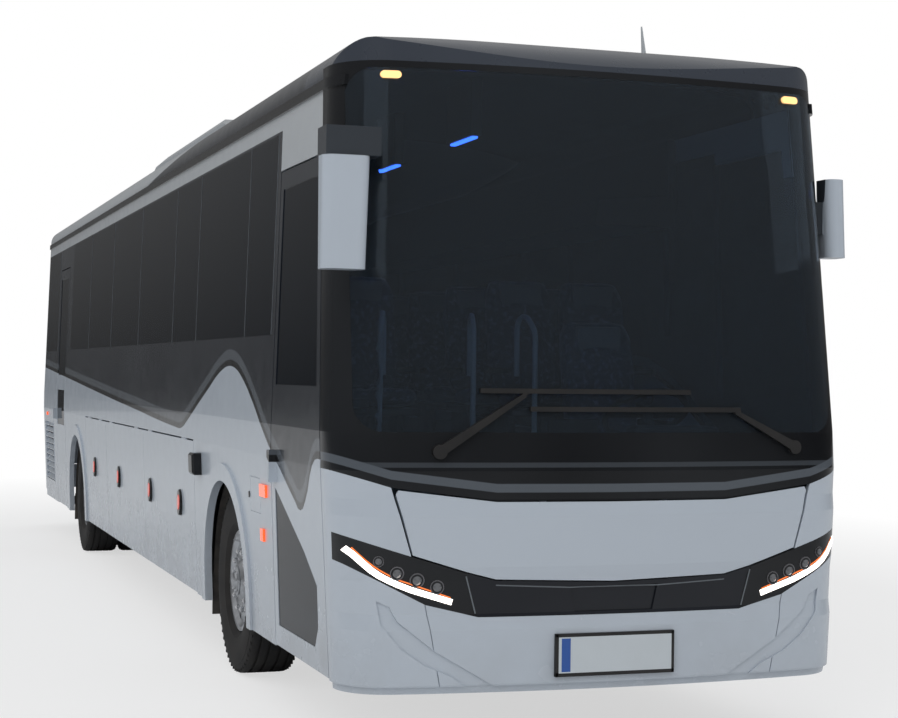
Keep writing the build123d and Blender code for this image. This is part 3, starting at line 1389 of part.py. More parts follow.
# Drip rails over the windows, running on over the corner of the mask
RAIL_LOW = 3012
RAIL_HIGH = 3060
RAIL_PROUD = 14
RAIL_START = 385
with BuildPart() as gutter:
    add(side_band(RAIL_LOW, RAIL_HIGH, RAIL_START, TAIL_START, RAIL_PROUD, proud=RAIL_PROUD))
    add(MASK_AREA, mode=Mode.SUBTRACT)
    with BuildPart(mode=Mode.PRIVATE) as corner_rail:
        add(front_skin(0, RAIL_PROUD))
        with BuildPart(mode=Mode.PRIVATE) as rail_zone:
            box_between((900, back(RAIL_START), RAIL_LOW), (1400, back(DOME_REAR), RAIL_HIGH))
        add(rail_zone.part, mode=Mode.INTERSECT)
    add(corner_rail.part)
with BuildPart() as gutters:
    add(gutter.part)
    add(on_right(gutter.part))
save(gutters.part, "gutters")

# Small lamps: roof markers on the screen's top band, side repeaters, side markers
MARKER = (1003, 3052, 92, 34)
SIDE_LAMPS = ((1520, 1660, 1072, 1136), (1600, 1665, 842, 906), (12300, 12360, 1215, 1250))
with BuildPart() as marker_half:
    with BuildPart(mode=Mode.PRIVATE) as marker_zone:
        with BuildSketch(Plane.XZ.offset(-back(DOME_REAR))):
            with Locations((MARKER[0], MARKER[1])):
                SlotOverall(MARKER[2], MARKER[3])
        extrude(amount=DOME_REAR + 100)
    add(front_skin(0, RAIL_PROUD))
    add(marker_zone.part, mode=Mode.INTERSECT)
    for start, end, low, high in SIDE_LAMPS:
        add(side_band(low, high, start, end, 12, proud=12))
with BuildPart() as marker_lamps:
    add(marker_half.part)
    mirror(about=Plane.YZ)
save(marker_lamps.part, "marker_lamps")

# Black housing on the side ahead of the flaps, and the filler's lock
HOUSING = (3330, 3465, 1083, 1215, 58)
LOCK = (1955, 1062, 17)
with BuildPart() as side_fittings:
    with BuildPart(mode=Mode.PRIVATE) as housing:
        add(side_band(*HOUSING[2:4], *HOUSING[0:2], HOUSING[4], proud=HOUSING[4]))
        chamfer(housing.faces().sort_by(Axis.X)[-1].edges(), 14)
    add(housing.part)
    with BuildPart(mode=Mode.PRIVATE) as lock:
        add(side_band(LOCK[1] - 30, LOCK[1] + 30, LOCK[0] - 30, LOCK[0] + 30, 4, proud=4))
        with BuildPart(mode=Mode.PRIVATE) as lock_zone:
            with BuildSketch(Plane.YZ.offset(1200)):
                with Locations((back(LOCK[0]), LOCK[1])):
                    Circle(LOCK[2])
            extrude(amount=200)
        add(lock_zone.part, mode=Mode.INTERSECT)
    add(lock.part)
    mirror(about=Plane.YZ)
save(side_fittings.part, "side_fittings")

# Hand rails on the front edge of the deck: foot across, top across, lean back
RAIL_TUBE = 16
RAIL_FEET = ((-590, -520), (-60, -20), (300, 260))
with BuildPart() as grab_rails:
    for foot_x, top_x in RAIL_FEET:
        with BuildLine() as rail_path:
            FilletPolyline(
                (foot_x, back(DECK_START + 70), DECK_TOP_Z),
                (foot_x, back(DECK_START + 70), 1950),
                (top_x, back(DECK_START + 250), 2130),
                (top_x, back(DECK_START + 250), 1700),
                radius=70,
            )
        with BuildSketch(Plane.XY.offset(DECK_TOP_Z)):
            with Locations((foot_x, back(DECK_START + 70))):
                RegularPolygon(RAIL_TUBE, 8)
        sweep(path=rail_path.line)
save(grab_rails.part, "grab_rails")
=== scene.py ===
import bpy
import bmesh
import math
from mathutils import Matrix, Vector
from mathutils.bvhtree import BVHTree


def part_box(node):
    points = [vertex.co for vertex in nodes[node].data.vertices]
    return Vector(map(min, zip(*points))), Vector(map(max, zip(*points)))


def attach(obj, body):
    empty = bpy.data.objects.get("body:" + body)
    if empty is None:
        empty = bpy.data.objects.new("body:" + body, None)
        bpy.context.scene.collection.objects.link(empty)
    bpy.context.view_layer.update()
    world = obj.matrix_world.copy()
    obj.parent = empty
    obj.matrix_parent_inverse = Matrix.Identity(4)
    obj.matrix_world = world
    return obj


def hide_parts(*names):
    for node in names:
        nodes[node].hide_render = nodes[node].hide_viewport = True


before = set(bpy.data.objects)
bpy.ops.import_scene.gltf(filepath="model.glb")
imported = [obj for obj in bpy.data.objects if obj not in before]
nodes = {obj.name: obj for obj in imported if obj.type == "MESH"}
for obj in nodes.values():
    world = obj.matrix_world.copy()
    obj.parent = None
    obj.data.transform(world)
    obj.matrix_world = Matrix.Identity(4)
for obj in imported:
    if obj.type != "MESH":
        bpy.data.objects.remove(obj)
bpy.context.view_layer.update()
print("frame loaded,", len(nodes), "nodes")

# camera, at the place solved from the photograph
camera = {
    "place": (-3.2743, -13.9341, 1.7188),
    "right": (0.949210, -0.314437, 0.011362),
    "up": (-0.013154, -0.003578, 0.999907),
    "look": (0.314367, 0.949272, 0.007532),
    "lens": 72.16,  # mm, as the sensor
    "sensor": 36,
    "reach": 200,
}


def addCamera():
    data = bpy.data.cameras.new("camera")
    data.lens = camera["lens"]
    data.sensor_width = camera["sensor"]
    data.clip_end = camera["reach"]
    obj = bpy.data.objects.new("camera", data)
    right, up, look = (Vector(camera[k]).normalized() for k in ("right", "up", "look"))
    obj.matrix_world = Matrix((
        (right.x, up.x, -look.x, camera["place"][0]),
        (right.y, up.y, -look.y, camera["place"][1]),
        (right.z, up.z, -look.z, camera["place"][2]),
        (0, 0, 0, 1),
    ))
    bpy.context.scene.collection.objects.link(obj)
    bpy.context.scene.camera = obj


addCamera()
bpy.context.scene.view_settings.view_transform = "Standard"
print("camera set")


# node tree helpers
def newGroup(name, inputs, *outputs):
    tree = bpy.data.node_groups.new(name, "ShaderNodeTree")
    for label, value in inputs.items():
        kind = "NodeSocketColor" if isinstance(value, tuple) else "NodeSocketFloat"
        tree.interface.new_socket(label, in_out="INPUT", socket_type=kind).default_value = value
    for label in outputs:
        kind = "NodeSocketColor" if label == "Colour" else "NodeSocketFloat"
        tree.interface.new_socket(label, in_out="OUTPUT", socket_type=kind)
    return tree, tree.nodes.new("NodeGroupInput"), tree.nodes.new("NodeGroupOutput")


def feed(tree, socket, value):
    if isinstance(value, (int, float)):
        socket.default_value = value
    elif isinstance(value, tuple):
        socket.default_value = value if len(value) == 4 else (*value, 1)
    else:
        tree.links.new(value, socket)


def calc(tree, operation, a, b=0.0, clamp=False):
    node = tree.nodes.new("ShaderNodeMath")
    node.operation = operation
    node.use_clamp = clamp
    feed(tree, node.inputs[0], a)
    feed(tree, node.inputs[1], b)
    return node.outputs[0]


def mixColour(tree, factor, a, b):
    node = tree.nodes.new("ShaderNodeMix")
    node.data_type = "RGBA"
    feed(tree, node.inputs[0], factor)
    feed(tree, node.inputs[6], a)
    feed(tree, node.inputs[7], b)
    return node.outputs[2]


def spread(tree, value, low, high, outLow=0.0, outHigh=1.0):
    node = tree.nodes.new("ShaderNodeMapRange")
    feed(tree, node.inputs["Value"], value)
    limits = (("From Min", low), ("From Max", high), ("To Min", outLow), ("To Max", outHigh))
    for label, number in limits:
        node.inputs[label].default_value = number
    return node.outputs[0]


def noise(tree, vector, scale, detail=3.0, roughness=0.5):
    node = tree.nodes.new("ShaderNodeTexNoise")
    tree.links.new(vector, node.inputs["Vector"])
    node.inputs["Scale"].default_value = scale
    node.inputs["Detail"].default_value = detail
    node.inputs["Roughness"].default_value = roughness
    return node.outputs["Fac"]


def objectSpace(tree):
    coord = tree.nodes.new("ShaderNodeTexCoord")
    split = tree.nodes.new("ShaderNodeSeparateXYZ")
    tree.links.new(coord.outputs["Object"], split.inputs[0])
    return coord.outputs["Object"], split.outputs


def above(tree, value, edge, soft=0.0015):
    return spread(tree, value, edge - soft, edge + soft)


def roughen(tree, rough, mask, amount):
    return calc(tree, "ADD", rough, calc(tree, "MULTIPLY", mask, amount))


# paint film: orange peel, a little road dust low down, slow colour drift
film = {
    "dustHeights": (0.95, 0.3),  # clean above the first, dusty at the second
    "dustGrain": (3.2, 6, 0.65),  # scale, detail and roughness of a noise
    "dustSpread": (0.35, 0.75),
    "dustColour": (0.23, 0.21, 0.18),
    "dustRough": 0.45,
    "driftGrain": (0.7, 2),
    "driftSpread": (0.3, 0.7, 0.0, 0.05),  # noise from and to, share of the colour from and to
    "driftColour": (0.30, 0.33, 0.36),
    "patchGrain": (9, 4),
    "patchSpread": (0.3, 0.7, -0.02, 0.04),  # noise from and to, roughness from and to
    "peelGrain": (95, 2, 0.4),
}
filmInputs = {"Colour": (0.8, 0.8, 0.8, 1), "Dust": 0.4, "Gloss": 0.2}
filmTree, filmIn, filmOut = newGroup("paintFilm", filmInputs, "Colour", "Roughness", "Height")
place, xyz = objectSpace(filmTree)
low = spread(filmTree, xyz[2], *film["dustHeights"])
speck = spread(filmTree, noise(filmTree, place, *film["dustGrain"]), *film["dustSpread"])
dust = calc(filmTree, "MULTIPLY", low, speck)
dust = calc(filmTree, "MULTIPLY", dust, filmIn.outputs["Dust"], True)
drift = spread(filmTree, noise(filmTree, place, *film["driftGrain"]), *film["driftSpread"])
drifted = mixColour(filmTree, drift, filmIn.outputs["Colour"], film["driftColour"])
dusted = mixColour(filmTree, dust, drifted, film["dustColour"])
filmTree.links.new(dusted, filmOut.inputs["Colour"])
rough = roughen(filmTree, filmIn.outputs["Gloss"], dust, film["dustRough"])
patch = spread(filmTree, noise(filmTree, place, *film["patchGrain"]), *film["patchSpread"])
filmTree.links.new(calc(filmTree, "ADD", rough, patch), filmOut.inputs["Roughness"])
filmTree.links.new(noise(filmTree, place, *film["peelGrain"]), filmOut.inputs["Height"])

# moulded grain for plastics, rubber and textured coatings
grain = {
    "blotchGrain": (5, 5, 0.6),
    "blotchSpread": (0.35, 0.7),
    "dirtColour": (0.17, 0.15, 0.13),
    "dirtRough": 0.3,
}
grainInputs = {"Colour": (0.1, 0.1, 0.1, 1), "Scale": 300.0, "Rough": 0.5, "Dirt": 0.2}
grainTree, grainIn, grainOut = newGroup("mouldedGrain", grainInputs, "Colour", "Roughness", "Height")
place, xyz = objectSpace(grainTree)
fine = grainTree.nodes.new("ShaderNodeTexVoronoi")
grainTree.links.new(place, fine.inputs["Vector"])
grainTree.links.new(grainIn.outputs["Scale"], fine.inputs["Scale"])
blotch = spread(grainTree, noise(grainTree, place, *grain["blotchGrain"]), *grain["blotchSpread"])
dirt = calc(grainTree, "MULTIPLY", blotch, grainIn.outputs["Dirt"], True)
soiled = mixColour(grainTree, dirt, grainIn.outputs["Colour"], grain["dirtColour"])
grainTree.links.new(soiled, grainOut.inputs["Colour"])
rough = roughen(grainTree, grainIn.outputs["Rough"], dirt, grain["dirtRough"])
grainTree.links.new(rough, grainOut.inputs["Roughness"])
grainTree.links.new(fine.outputs["Distance"], grainOut.inputs["Height"])

# worn metal: fine scratches and brake dust
wear = {
    "stainGrain": (11, 6, 0.7),
    "stainSpread": (0.4, 0.75),
    "grimeColour": (0.06, 0.05, 0.045),
    "grimeRough": 0.4,
    "scratchGrain": (240, 3),
}
wearInputs = {"Colour": (0.7, 0.7, 0.7, 1), "Rough": 0.3, "Grime": 0.3}
wearTree, wearIn, wearOut = newGroup("metalWear", wearInputs, "Colour", "Roughness", "Height")
place, xyz = objectSpace(wearTree)
stain = spread(wearTree, noise(wearTree, place, *wear["stainGrain"]), *wear["stainSpread"])
grime = calc(wearTree, "MULTIPLY", stain, wearIn.outputs["Grime"], True)
soiled = mixColour(wearTree, grime, wearIn.outputs["Colour"], wear["grimeColour"])
wearTree.links.new(soiled, wearOut.inputs["Colour"])
rough = roughen(wearTree, wearIn.outputs["Rough"], grime, wear["grimeRough"])
wearTree.links.new(rough, wearOut.inputs["Roughness"])
wearTree.links.new(noise(wearTree, place, *wear["scratchGrain"]), wearOut.inputs["Height"])

# woven cloth: crossed threads with lighter flecks
weave = {"fleckGrain": (38, 4, 0.7), "fleckSpread": (0.52, 0.62)}
weaveInputs = {"Colour": (0.2, 0.2, 0.25, 1), "Fleck": (0.35, 0.37, 0.45, 1), "Threads": 420.0}
weaveTree, weaveIn, weaveOut = newGroup("wovenCloth", weaveInputs, "Colour", "Height")
place, xyz = objectSpace(weaveTree)
warp = calc(weaveTree, "SINE", calc(weaveTree, "MULTIPLY", xyz[0], weaveIn.outputs["Threads"]))
weft = calc(weaveTree, "SINE", calc(weaveTree, "MULTIPLY", xyz[2], weaveIn.outputs["Threads"]))
thread = calc(weaveTree, "MULTIPLY", warp, weft)
fleck = spread(weaveTree, noise(weaveTree, place, *weave["fleckGrain"]), *weave["fleckSpread"])
flecked = mixColour(weaveTree, fleck, weaveIn.outputs["Colour"], weaveIn.outputs["Fleck"])
weaveTree.links.new(flecked, weaveOut.inputs["Colour"])
weaveTree.links.new(thread, weaveOut.inputs["Height"])
print("finish groups ready")

# the front sits half a length ahead of the origin
coachSize = {"front": 6.48, "length": 12.96}

# livery: height of the white field's edge along the side, metres behind the front
livery = {
    "edge": (
        (0.00, 1.292), (0.35, 1.318), (0.50, 1.318), (0.56, 1.285), (0.72, 1.105), (0.82, 1.062),
        (0.92, 1.100), (1.28, 1.262), (1.395, 1.307), (1.613, 1.413), (1.89, 1.557), (2.17, 1.676),
        (2.36, 1.728), (2.54, 1.742), (2.72, 1.722), (3.18, 1.592), (3.80, 1.400), (3.95, 1.358),
        (4.07, 1.342), (4.22, 1.345), (6.17, 1.428), (7.06, 1.466), (10.95, 1.645), (12.96, 1.738),
    ),
    "edgeTop": 3.5,  # heights are given to the curve as shares of this
    "gap": 0.036,
    "stripe": 0.057,
    "header": (1.425, 1.43, 2.722, 2.93),  # silver above 2.722 ahead of 1.425, above 2.93 behind 1.43
    "white": (0.475, 0.530, 0.600),
    "dark": (0.012, 0.016, 0.024),
    "grey": (0.085, 0.098, 0.115),
    "black": (0.004, 0.0045, 0.006),
    "silver": (0.47, 0.50, 0.53),
}


def curveNode(tree, value, points, spanX, spanZ, handles="AUTO"):
    node = tree.nodes.new("ShaderNodeFloatCurve")
    feed(tree, node.inputs["Value"], calc(tree, "DIVIDE", value, spanX))
    line = node.mapping.curves[0]
    line.points[0].location = (points[0][0] / spanX, points[0][1] / spanZ)
    line.points[1].location = (points[-1][0] / spanX, points[-1][1] / spanZ)
    for x, z in points[1:-1]:
        line.points.new(x / spanX, z / spanZ)
    for point in line.points:
        point.handle_type = handles
    node.mapping.update()
    return calc(tree, "MULTIPLY", node.outputs[0], spanZ)


sideTree, sideIn, sideOut = newGroup("sideLivery", {}, "Colour")
place, xyz = objectSpace(sideTree)
behind = calc(sideTree, "ADD", xyz[1], coachSize["front"])
edge = curveNode(sideTree, behind, livery["edge"], coachSize["length"], livery["edgeTop"])
over = calc(sideTree, "SUBTRACT", xyz[2], edge)
colour = mixColour(sideTree, above(sideTree, over, 0.0), livery["white"], livery["black"])
colour = mixColour(sideTree, above(sideTree, over, livery["gap"]), colour, livery["grey"])
stripeTop = livery["gap"] + livery["stripe"]
colour = mixColour(sideTree, above(sideTree, over, stripeTop), colour, livery["dark"])
header = calc(sideTree, "SUBTRACT", xyz[2], spread(sideTree, behind, *livery["header"]))
colour = mixColour(sideTree, above(sideTree, header, 0.0), colour, livery["silver"])
sideTree.links.new(colour, sideOut.inputs["Colour"])

# cowl under the screen: a grey stripe that follows the lid's edge, and a fainter line above it
cowl = {
    "edge": ((0.00, 1.152), (0.56, 1.154), (1.033, 1.212), (1.30, 1.292)),
    "spans": (1.3, 2.0),
    "stripe": (0.036, 0.074),
    "line": (1.300, 1.322),
    "lineShare": 0.45,
}
cowlTree, cowlIn, cowlOut = newGroup("cowlLivery", {}, "Colour")
place, xyz = objectSpace(cowlTree)
across = calc(cowlTree, "ABSOLUTE", xyz[0])
edge = curveNode(cowlTree, across, cowl["edge"], *cowl["spans"], "VECTOR")
over = calc(cowlTree, "SUBTRACT", xyz[2], edge)
stripeLow, stripeHigh = (above(cowlTree, over, height) for height in cowl["stripe"])
stripe = calc(cowlTree, "SUBTRACT", stripeLow, stripeHigh)
lineLow, lineHigh = (above(cowlTree, xyz[2], height) for height in cowl["line"])
line = calc(cowlTree, "SUBTRACT", lineLow, lineHigh)
clear = above(cowlTree, calc(cowlTree, "SUBTRACT", over, cowl["stripe"][0]), 0.0)
line = calc(cowlTree, "MULTIPLY", line, clear)
colour = mixColour(cowlTree, stripe, livery["black"], livery["grey"])
faint = calc(cowlTree, "MULTIPLY", line, cowl["lineShare"])
colour = mixColour(cowlTree, faint, colour, livery["grey"])
cowlTree.links.new(colour, cowlOut.inputs["Colour"])

# roof: silver, with the dark front paint running back as a wedge along the cove
roof = {"heights": (3.06, 3.235), "darkUpTo": (6.0, 3.4), "soft": 0.01, "silver": (0.44, 0.47, 0.50)}
roofTree, roofIn, roofOut = newGroup("roofLivery", {}, "Colour")
place, xyz = objectSpace(roofTree)
behind = calc(roofTree, "ADD", xyz[1], coachSize["front"])
limit = spread(roofTree, xyz[2], *roof["heights"], *roof["darkUpTo"])
past = above(roofTree, calc(roofTree, "SUBTRACT", behind, limit), 0.0, roof["soft"])
roofTree.links.new(mixColour(roofTree, past, livery["dark"], roof["silver"]), roofOut.inputs["Colour"])

# mirrors: light housings under dark arms
mirrorCase = {"rightArmAbove": 2.6485, "leftArmInside": 1.262, "arm": (0.030, 0.036, 0.045)}
caseTree, caseIn, caseOut = newGroup("mirrorLivery", {}, "Colour")
place, xyz = objectSpace(caseTree)
rightSide = calc(caseTree, "LESS_THAN", xyz[0], 0.0)
armRight = calc(caseTree, "MULTIPLY", rightSide, above(caseTree, xyz[2], mirrorCase["rightArmAbove"]))
leftSide = calc(caseTree, "SUBTRACT", 1.0, rightSide)
inside = calc(caseTree, "LESS_THAN", xyz[0], mirrorCase["leftArmInside"])
arms = calc(caseTree, "MAXIMUM", armRight, calc(caseTree, "MULTIPLY", leftSide, inside))
cased = mixColour(caseTree, arms, livery["white"], mirrorCase["arm"])
caseTree.links.new(cased, caseOut.inputs["Colour"])

# small lamps: warm markers at the roof, amber side lamps below
markerLamp = {"roofAbove": 2.5, "side": (1.0, 0.10, 0.01), "roof": (1.0, 0.62, 0.25)}
lampTree, lampIn, lampOut = newGroup("markerGlow", {}, "Colour")
place, xyz = objectSpace(lampTree)
high = above(lampTree, xyz[2], markerLamp["roofAbove"])
lit = mixColour(lampTree, high, markerLamp["side"], markerLamp["roof"])
lampTree.links.new(lit, lampOut.inputs["Colour"])
print("livery groups ready")


def makeMaterial(
    name, metallic=0.0, coat=0.0, group=None, values=None, source=None, bump=0.1, depth=0.0006, **own
):
    mat = bpy.data.materials.new(name)
    mat.use_nodes = True
    tree = mat.node_tree
    shader = tree.nodes["Principled BSDF"]
    shader.inputs["Metallic"].default_value = metallic
    shader.inputs["Coat Weight"].default_value = coat
    shader.inputs["Coat Roughness"].default_value = 0.04
    for label, value in own.items():
        feed(tree, shader.inputs[label.replace("_", " ")], value)
    if group:
        part = tree.nodes.new("ShaderNodeGroup")
        part.node_tree = group
        for label, value in (values or {}).items():
            feed(tree, part.inputs[label], value)
        if source:
            paint = tree.nodes.new("ShaderNodeGroup")
            paint.node_tree = source
            tree.links.new(paint.outputs["Colour"], part.inputs["Colour"])
        tree.links.new(part.outputs["Colour"], shader.inputs["Base Color"])
        if "Roughness" in part.outputs:
            tree.links.new(part.outputs["Roughness"], shader.inputs["Roughness"])
        relief = tree.nodes.new("ShaderNodeBump")
        relief.inputs["Strength"].default_value = bump
        relief.inputs["Distance"].default_value = depth
        tree.links.new(part.outputs["Height"], relief.inputs["Height"])
        tree.links.new(relief.outputs["Normal"], shader.inputs["Normal"])
    return mat


def plastic(name, colour, rough=0.45, scale=320.0, dirt=0.15, **more):
    values = {"Colour": colour, "Rough": rough, "Scale": scale, "Dirt": dirt}
    return makeMaterial(name, group=grainTree, values=values, bump=0.25, depth=0.0004, **more)


def metal(name, colour, rough=0.3, grime=0.3, metallic=1.0, **more):
    values = {"Colour": colour, "Rough": rough, "Grime": grime}
    return makeMaterial(name, metallic=metallic, group=wearTree, values=values, **more)


def paint(name, colour=(0.5, 0.5, 0.5), dust=0.35, gloss=0.22, source=None, coat=0.25, **more):
    values = {"Colour": colour, "Dust": dust, "Gloss": gloss}
    return makeMaterial(name, coat=coat, group=filmTree, values=values, source=source, bump=0.05, **more)


def darkGloss(name, gloss, **more):
    return paint(name, dust=0.0, gloss=gloss, coat=0.05, Specular_IOR_Level=0.25, **more)


def lens(name, colour, rough, scale=60.0, glow=None, strength=0.0, coat=1.0):
    more = {"Emission_Color": glow, "Emission_Strength": strength} if glow else {}
    return plastic(name, colour, rough, scale, 0.0, coat=coat, **more)


def glass(name, tint, weight, rough, ior):
    mat = plastic(name, tint, rough, 4.0, 0.0, Transmission_Weight=weight, IOR=ior)
    for link in list(mat.node_tree.links):
        if link.to_socket.name == "Normal":
            mat.node_tree.links.remove(link)
    return mat


clothValues = {"Colour": (0.050, 0.060, 0.095), "Fleck": (0.13, 0.16, 0.25), "Threads": 1500.0}
markerValues = {"Rough": 0.15, "Scale": 60.0, "Dirt": 0.0}
finishes = {
    "white": paint("whitePaint", livery["white"], dust=0.16),
    "side": paint("sidePaint", source=sideTree),
    "cowl": darkGloss("cowlPaint", 0.12, source=cowlTree),
    "roof": paint("roofPaint", source=roofTree, dust=0.0, gloss=0.3, coat=0.3),
    "dome": paint("domePaint", (0.022, 0.030, 0.046), dust=0.0, gloss=0.28, coat=0.4),
    "unit": paint("roofUnitPaint", (0.40, 0.43, 0.46), dust=0.0, gloss=0.35),
    "black": darkGloss("blackGloss", 0.1, colour=livery["black"]),
    "strip": darkGloss("stripGloss", 0.08, colour=(0.004, 0.005, 0.009)),
    "trim": plastic("blackTrim", (0.009, 0.009, 0.010), 0.5, 320.0, 0.05),
    "dash": plastic("dashGrain", (0.035, 0.036, 0.040), 0.55, 420.0),
    "liner": plastic("linerPlastic", (0.020, 0.020, 0.021), 0.7, 160.0, 0.5),
    "floor": plastic("deckCovering", (0.10, 0.105, 0.115), 0.6, 700.0),
    "tyre": plastic("tyreRubber", (0.009, 0.009, 0.010), 0.75, 520.0, 0.10),
    "frame": metal("frameCoat", (0.035, 0.036, 0.040), 0.55, 0.4, 0.2),
    "iron": metal("castIron", (0.06, 0.06, 0.065), 0.6, 0.5, 0.5),
    "rim": metal("rimAlloy", (0.50, 0.52, 0.55), 0.28, 0.45),
    "chrome": metal("nutChrome", (0.80, 0.81, 0.83), 0.14, 0.15),
    "tube": plastic("railTube", (0.80, 0.82, 0.84), 0.35, 300.0, 0.02),
    "plate": plastic("plateFace", (0.55, 0.60, 0.64), 0.35, 90.0, 0.05),
    "sideGlass": glass("sideGlass", (0.010, 0.016, 0.026), 0.60, 0.02, 1.22),
    "screenGlass": glass("screenGlass", (0.27, 0.36, 0.46), 0.97, 0.01, 1.36),
    "mirror": metal("mirrorGlass", (0.85, 0.87, 0.90), 0.03, 0.0),
    "redLens": lens("redLens", (0.30, 0.008, 0.010), 0.12),
    "clearLens": lens("clearLens", (0.10, 0.105, 0.115), 0.06),
    "amber": lens("amberLens", (0.85, 0.16, 0.015), 0.15, glow=(1.0, 0.22, 0.03), strength=0.55),
    "mirrorCase": paint("mirrorCasePaint", source=caseTree, dust=0.0),
    "marker": makeMaterial(
        "markerLens", coat=1.0, group=grainTree, values=markerValues, source=lampTree,
        Emission_Strength=0.9,
    ),
    # red reflector: its slight emission is a painted glint, since a reflector gives no light of its own
    "paintedRedGlint": lens("redReflector", (0.75, 0.05, 0.02), 0.2, 90.0, (1.0, 0.06, 0.02), 0.35),
    "dayLight": lens("dayLight", (1.0, 0.96, 0.92), 0.3, 30.0, (1.0, 0.93, 0.86), 2.2, 0.0),
    "blueLight": lens("blueLight", (0.05, 0.12, 0.9), 0.3, 30.0, (0.05, 0.16, 1.0), 6.0, 0.0),
    "lampMetal": metal("lampReflector", (0.16, 0.16, 0.17), 0.25, 0.2, 0.8),
    # painted sheen: light grey lines laid on a headlamp seam, the gloss strip's top edge and the pane
    # joints as painted highlights
    "sheen": metal("paintedSheenStrip", (0.16, 0.18, 0.20), 0.4, 0.1, 0.4),
    "plateBlue": plastic("plateBlue", (0.02, 0.09, 0.36), 0.35, 90.0, 0.05),
    "cloth": makeMaterial(
        "seatCloth", group=weaveTree, values=clothValues, bump=0.5, depth=0.001, Roughness=0.9,
        Sheen_Weight=0.3,
    ),
    "vinyl": plastic("headrestVinyl", (0.16, 0.17, 0.19), 0.55, 500.0, 0.05),
}

markerTree = finishes["marker"].node_tree
glow = next(n for n in markerTree.nodes if n.type == "GROUP" and n.node_tree == lampTree)
markerShader = markerTree.nodes["Principled BSDF"]
markerTree.links.new(glow.outputs["Colour"], markerShader.inputs["Emission Color"])

# which nodes wear which finish; everything else is black trim
flaps = tuple(f"flap_{side}_{number}" for side in ("left", "right") for number in (1, 2, 3))
wheelPlaces = ("front_left", "front_right", "rear_left", "rear_right")
wearers = {
    "white": ("bumper", "corner_panels", "front_lid", "louvres", "arch_mouldings"),
    "side": (
        "side_wall_left", "side_wall_right", "rear_wall", "engine_lid", "lower_panels", "front_door",
        "rear_door", *flaps,
    ),
    "strip": ("grille_strip",),
    "black": ("headlamps", "windscreen_frame", "gutters", "side_fittings"),
    "cowl": ("cowl_panel",),
    "screenGlass": ("windscreen",),
    "sideGlass": ("windows", "front_door_glass", "rear_door_glass"),
    "dome": ("roof_dome",),
    "roof": ("roof_shell",),
    "unit": ("roof_unit",),
    "redLens": ("tail_lamps",),
    "marker": ("marker_lamps",),
    "mirrorCase": ("mirrors",),
    "plate": ("plates",),
    "liner": ("wheel_housings",),
    "floor": ("floor_deck", "entrance_steps"),
    "frame": ("underframe", "front_door_arm", "rear_door_arm"),
    "iron": ("axles", "knuckle_left", "knuckle_right", "track_rod", "engine"),
    "dash": ("dashboard",),
    "tube": ("grab_rails",),
    "cloth": ("seats",),
    "tyre": tuple(f"tyre_{place}" for place in wheelPlaces),
    "rim": tuple(f"rim_{place}" for place in wheelPlaces),
}
nodeFinish = {name: key for key, names in wearers.items() for name in names}
for name, obj in nodes.items():
    obj.data.materials.clear()
    obj.data.materials.append(finishes[nodeFinish.get(name, "trim")])
print("finishes on", len(nodes), "nodes")

# stage: pale floor that fades into a white surround, and soft studio lights
studio = {
    "floorTone": (0.86, 0.87, 0.88),
    "floorRadius": 60,
    "floorRough": 0.85,
    "floorShape": 0.62,  # the fade is this much narrower across than along
    "fade": (7.5, 15.0),
    "fadeGlow": (0.62, 1.0),
    "world": 0.48,
    "seenThrough": 0.5,
    "reflected": (0.05, 0.62),  # what glossy rays see, level and upwards
    "reflectedRise": 0.7,
    "aim": (0, 0, 1.5),
    "lamps": (
        ((-6.0, -13.0, 9.0), 9.0, 430.0),
        ((9.0, -9.0, 8.0), 8.0, 250.0),
        ((-11.0, 3.0, 7.0), 10.0, 330.0),
        ((5.0, 12.0, 9.0), 9.0, 220.0),
    ),
}


def rayMask(tree):
    path = tree.nodes.new("ShaderNodeLightPath")
    through = calc(tree, "MULTIPLY", path.outputs["Is Transmission Ray"], studio["seenThrough"])
    return calc(tree, "MAXIMUM", path.outputs["Is Camera Ray"], through)


def setWorld():
    world = bpy.data.worlds.new("studioWorld")
    bpy.context.scene.world = world
    world.use_nodes = True
    tree = world.node_tree
    sky = tree.nodes["Background"]
    sky.inputs["Color"].default_value = (1, 1, 1, 1)
    path = tree.nodes.new("ShaderNodeLightPath")
    coord = tree.nodes.new("ShaderNodeTexCoord")
    split = tree.nodes.new("ShaderNodeSeparateXYZ")
    tree.links.new(coord.outputs["Generated"], split.inputs[0])
    rise = spread(tree, split.outputs[2], 0.0, studio["reflectedRise"], *studio["reflected"])
    lift = calc(tree, "MULTIPLY", rayMask(tree), 1 - studio["world"])
    plain = calc(tree, "ADD", lift, studio["world"])
    glossy = path.outputs["Is Glossy Ray"]
    kept = calc(tree, "MULTIPLY", plain, calc(tree, "SUBTRACT", 1.0, glossy))
    strength = calc(tree, "ADD", kept, calc(tree, "MULTIPLY", rise, glossy))
    tree.links.new(strength, sky.inputs["Strength"])


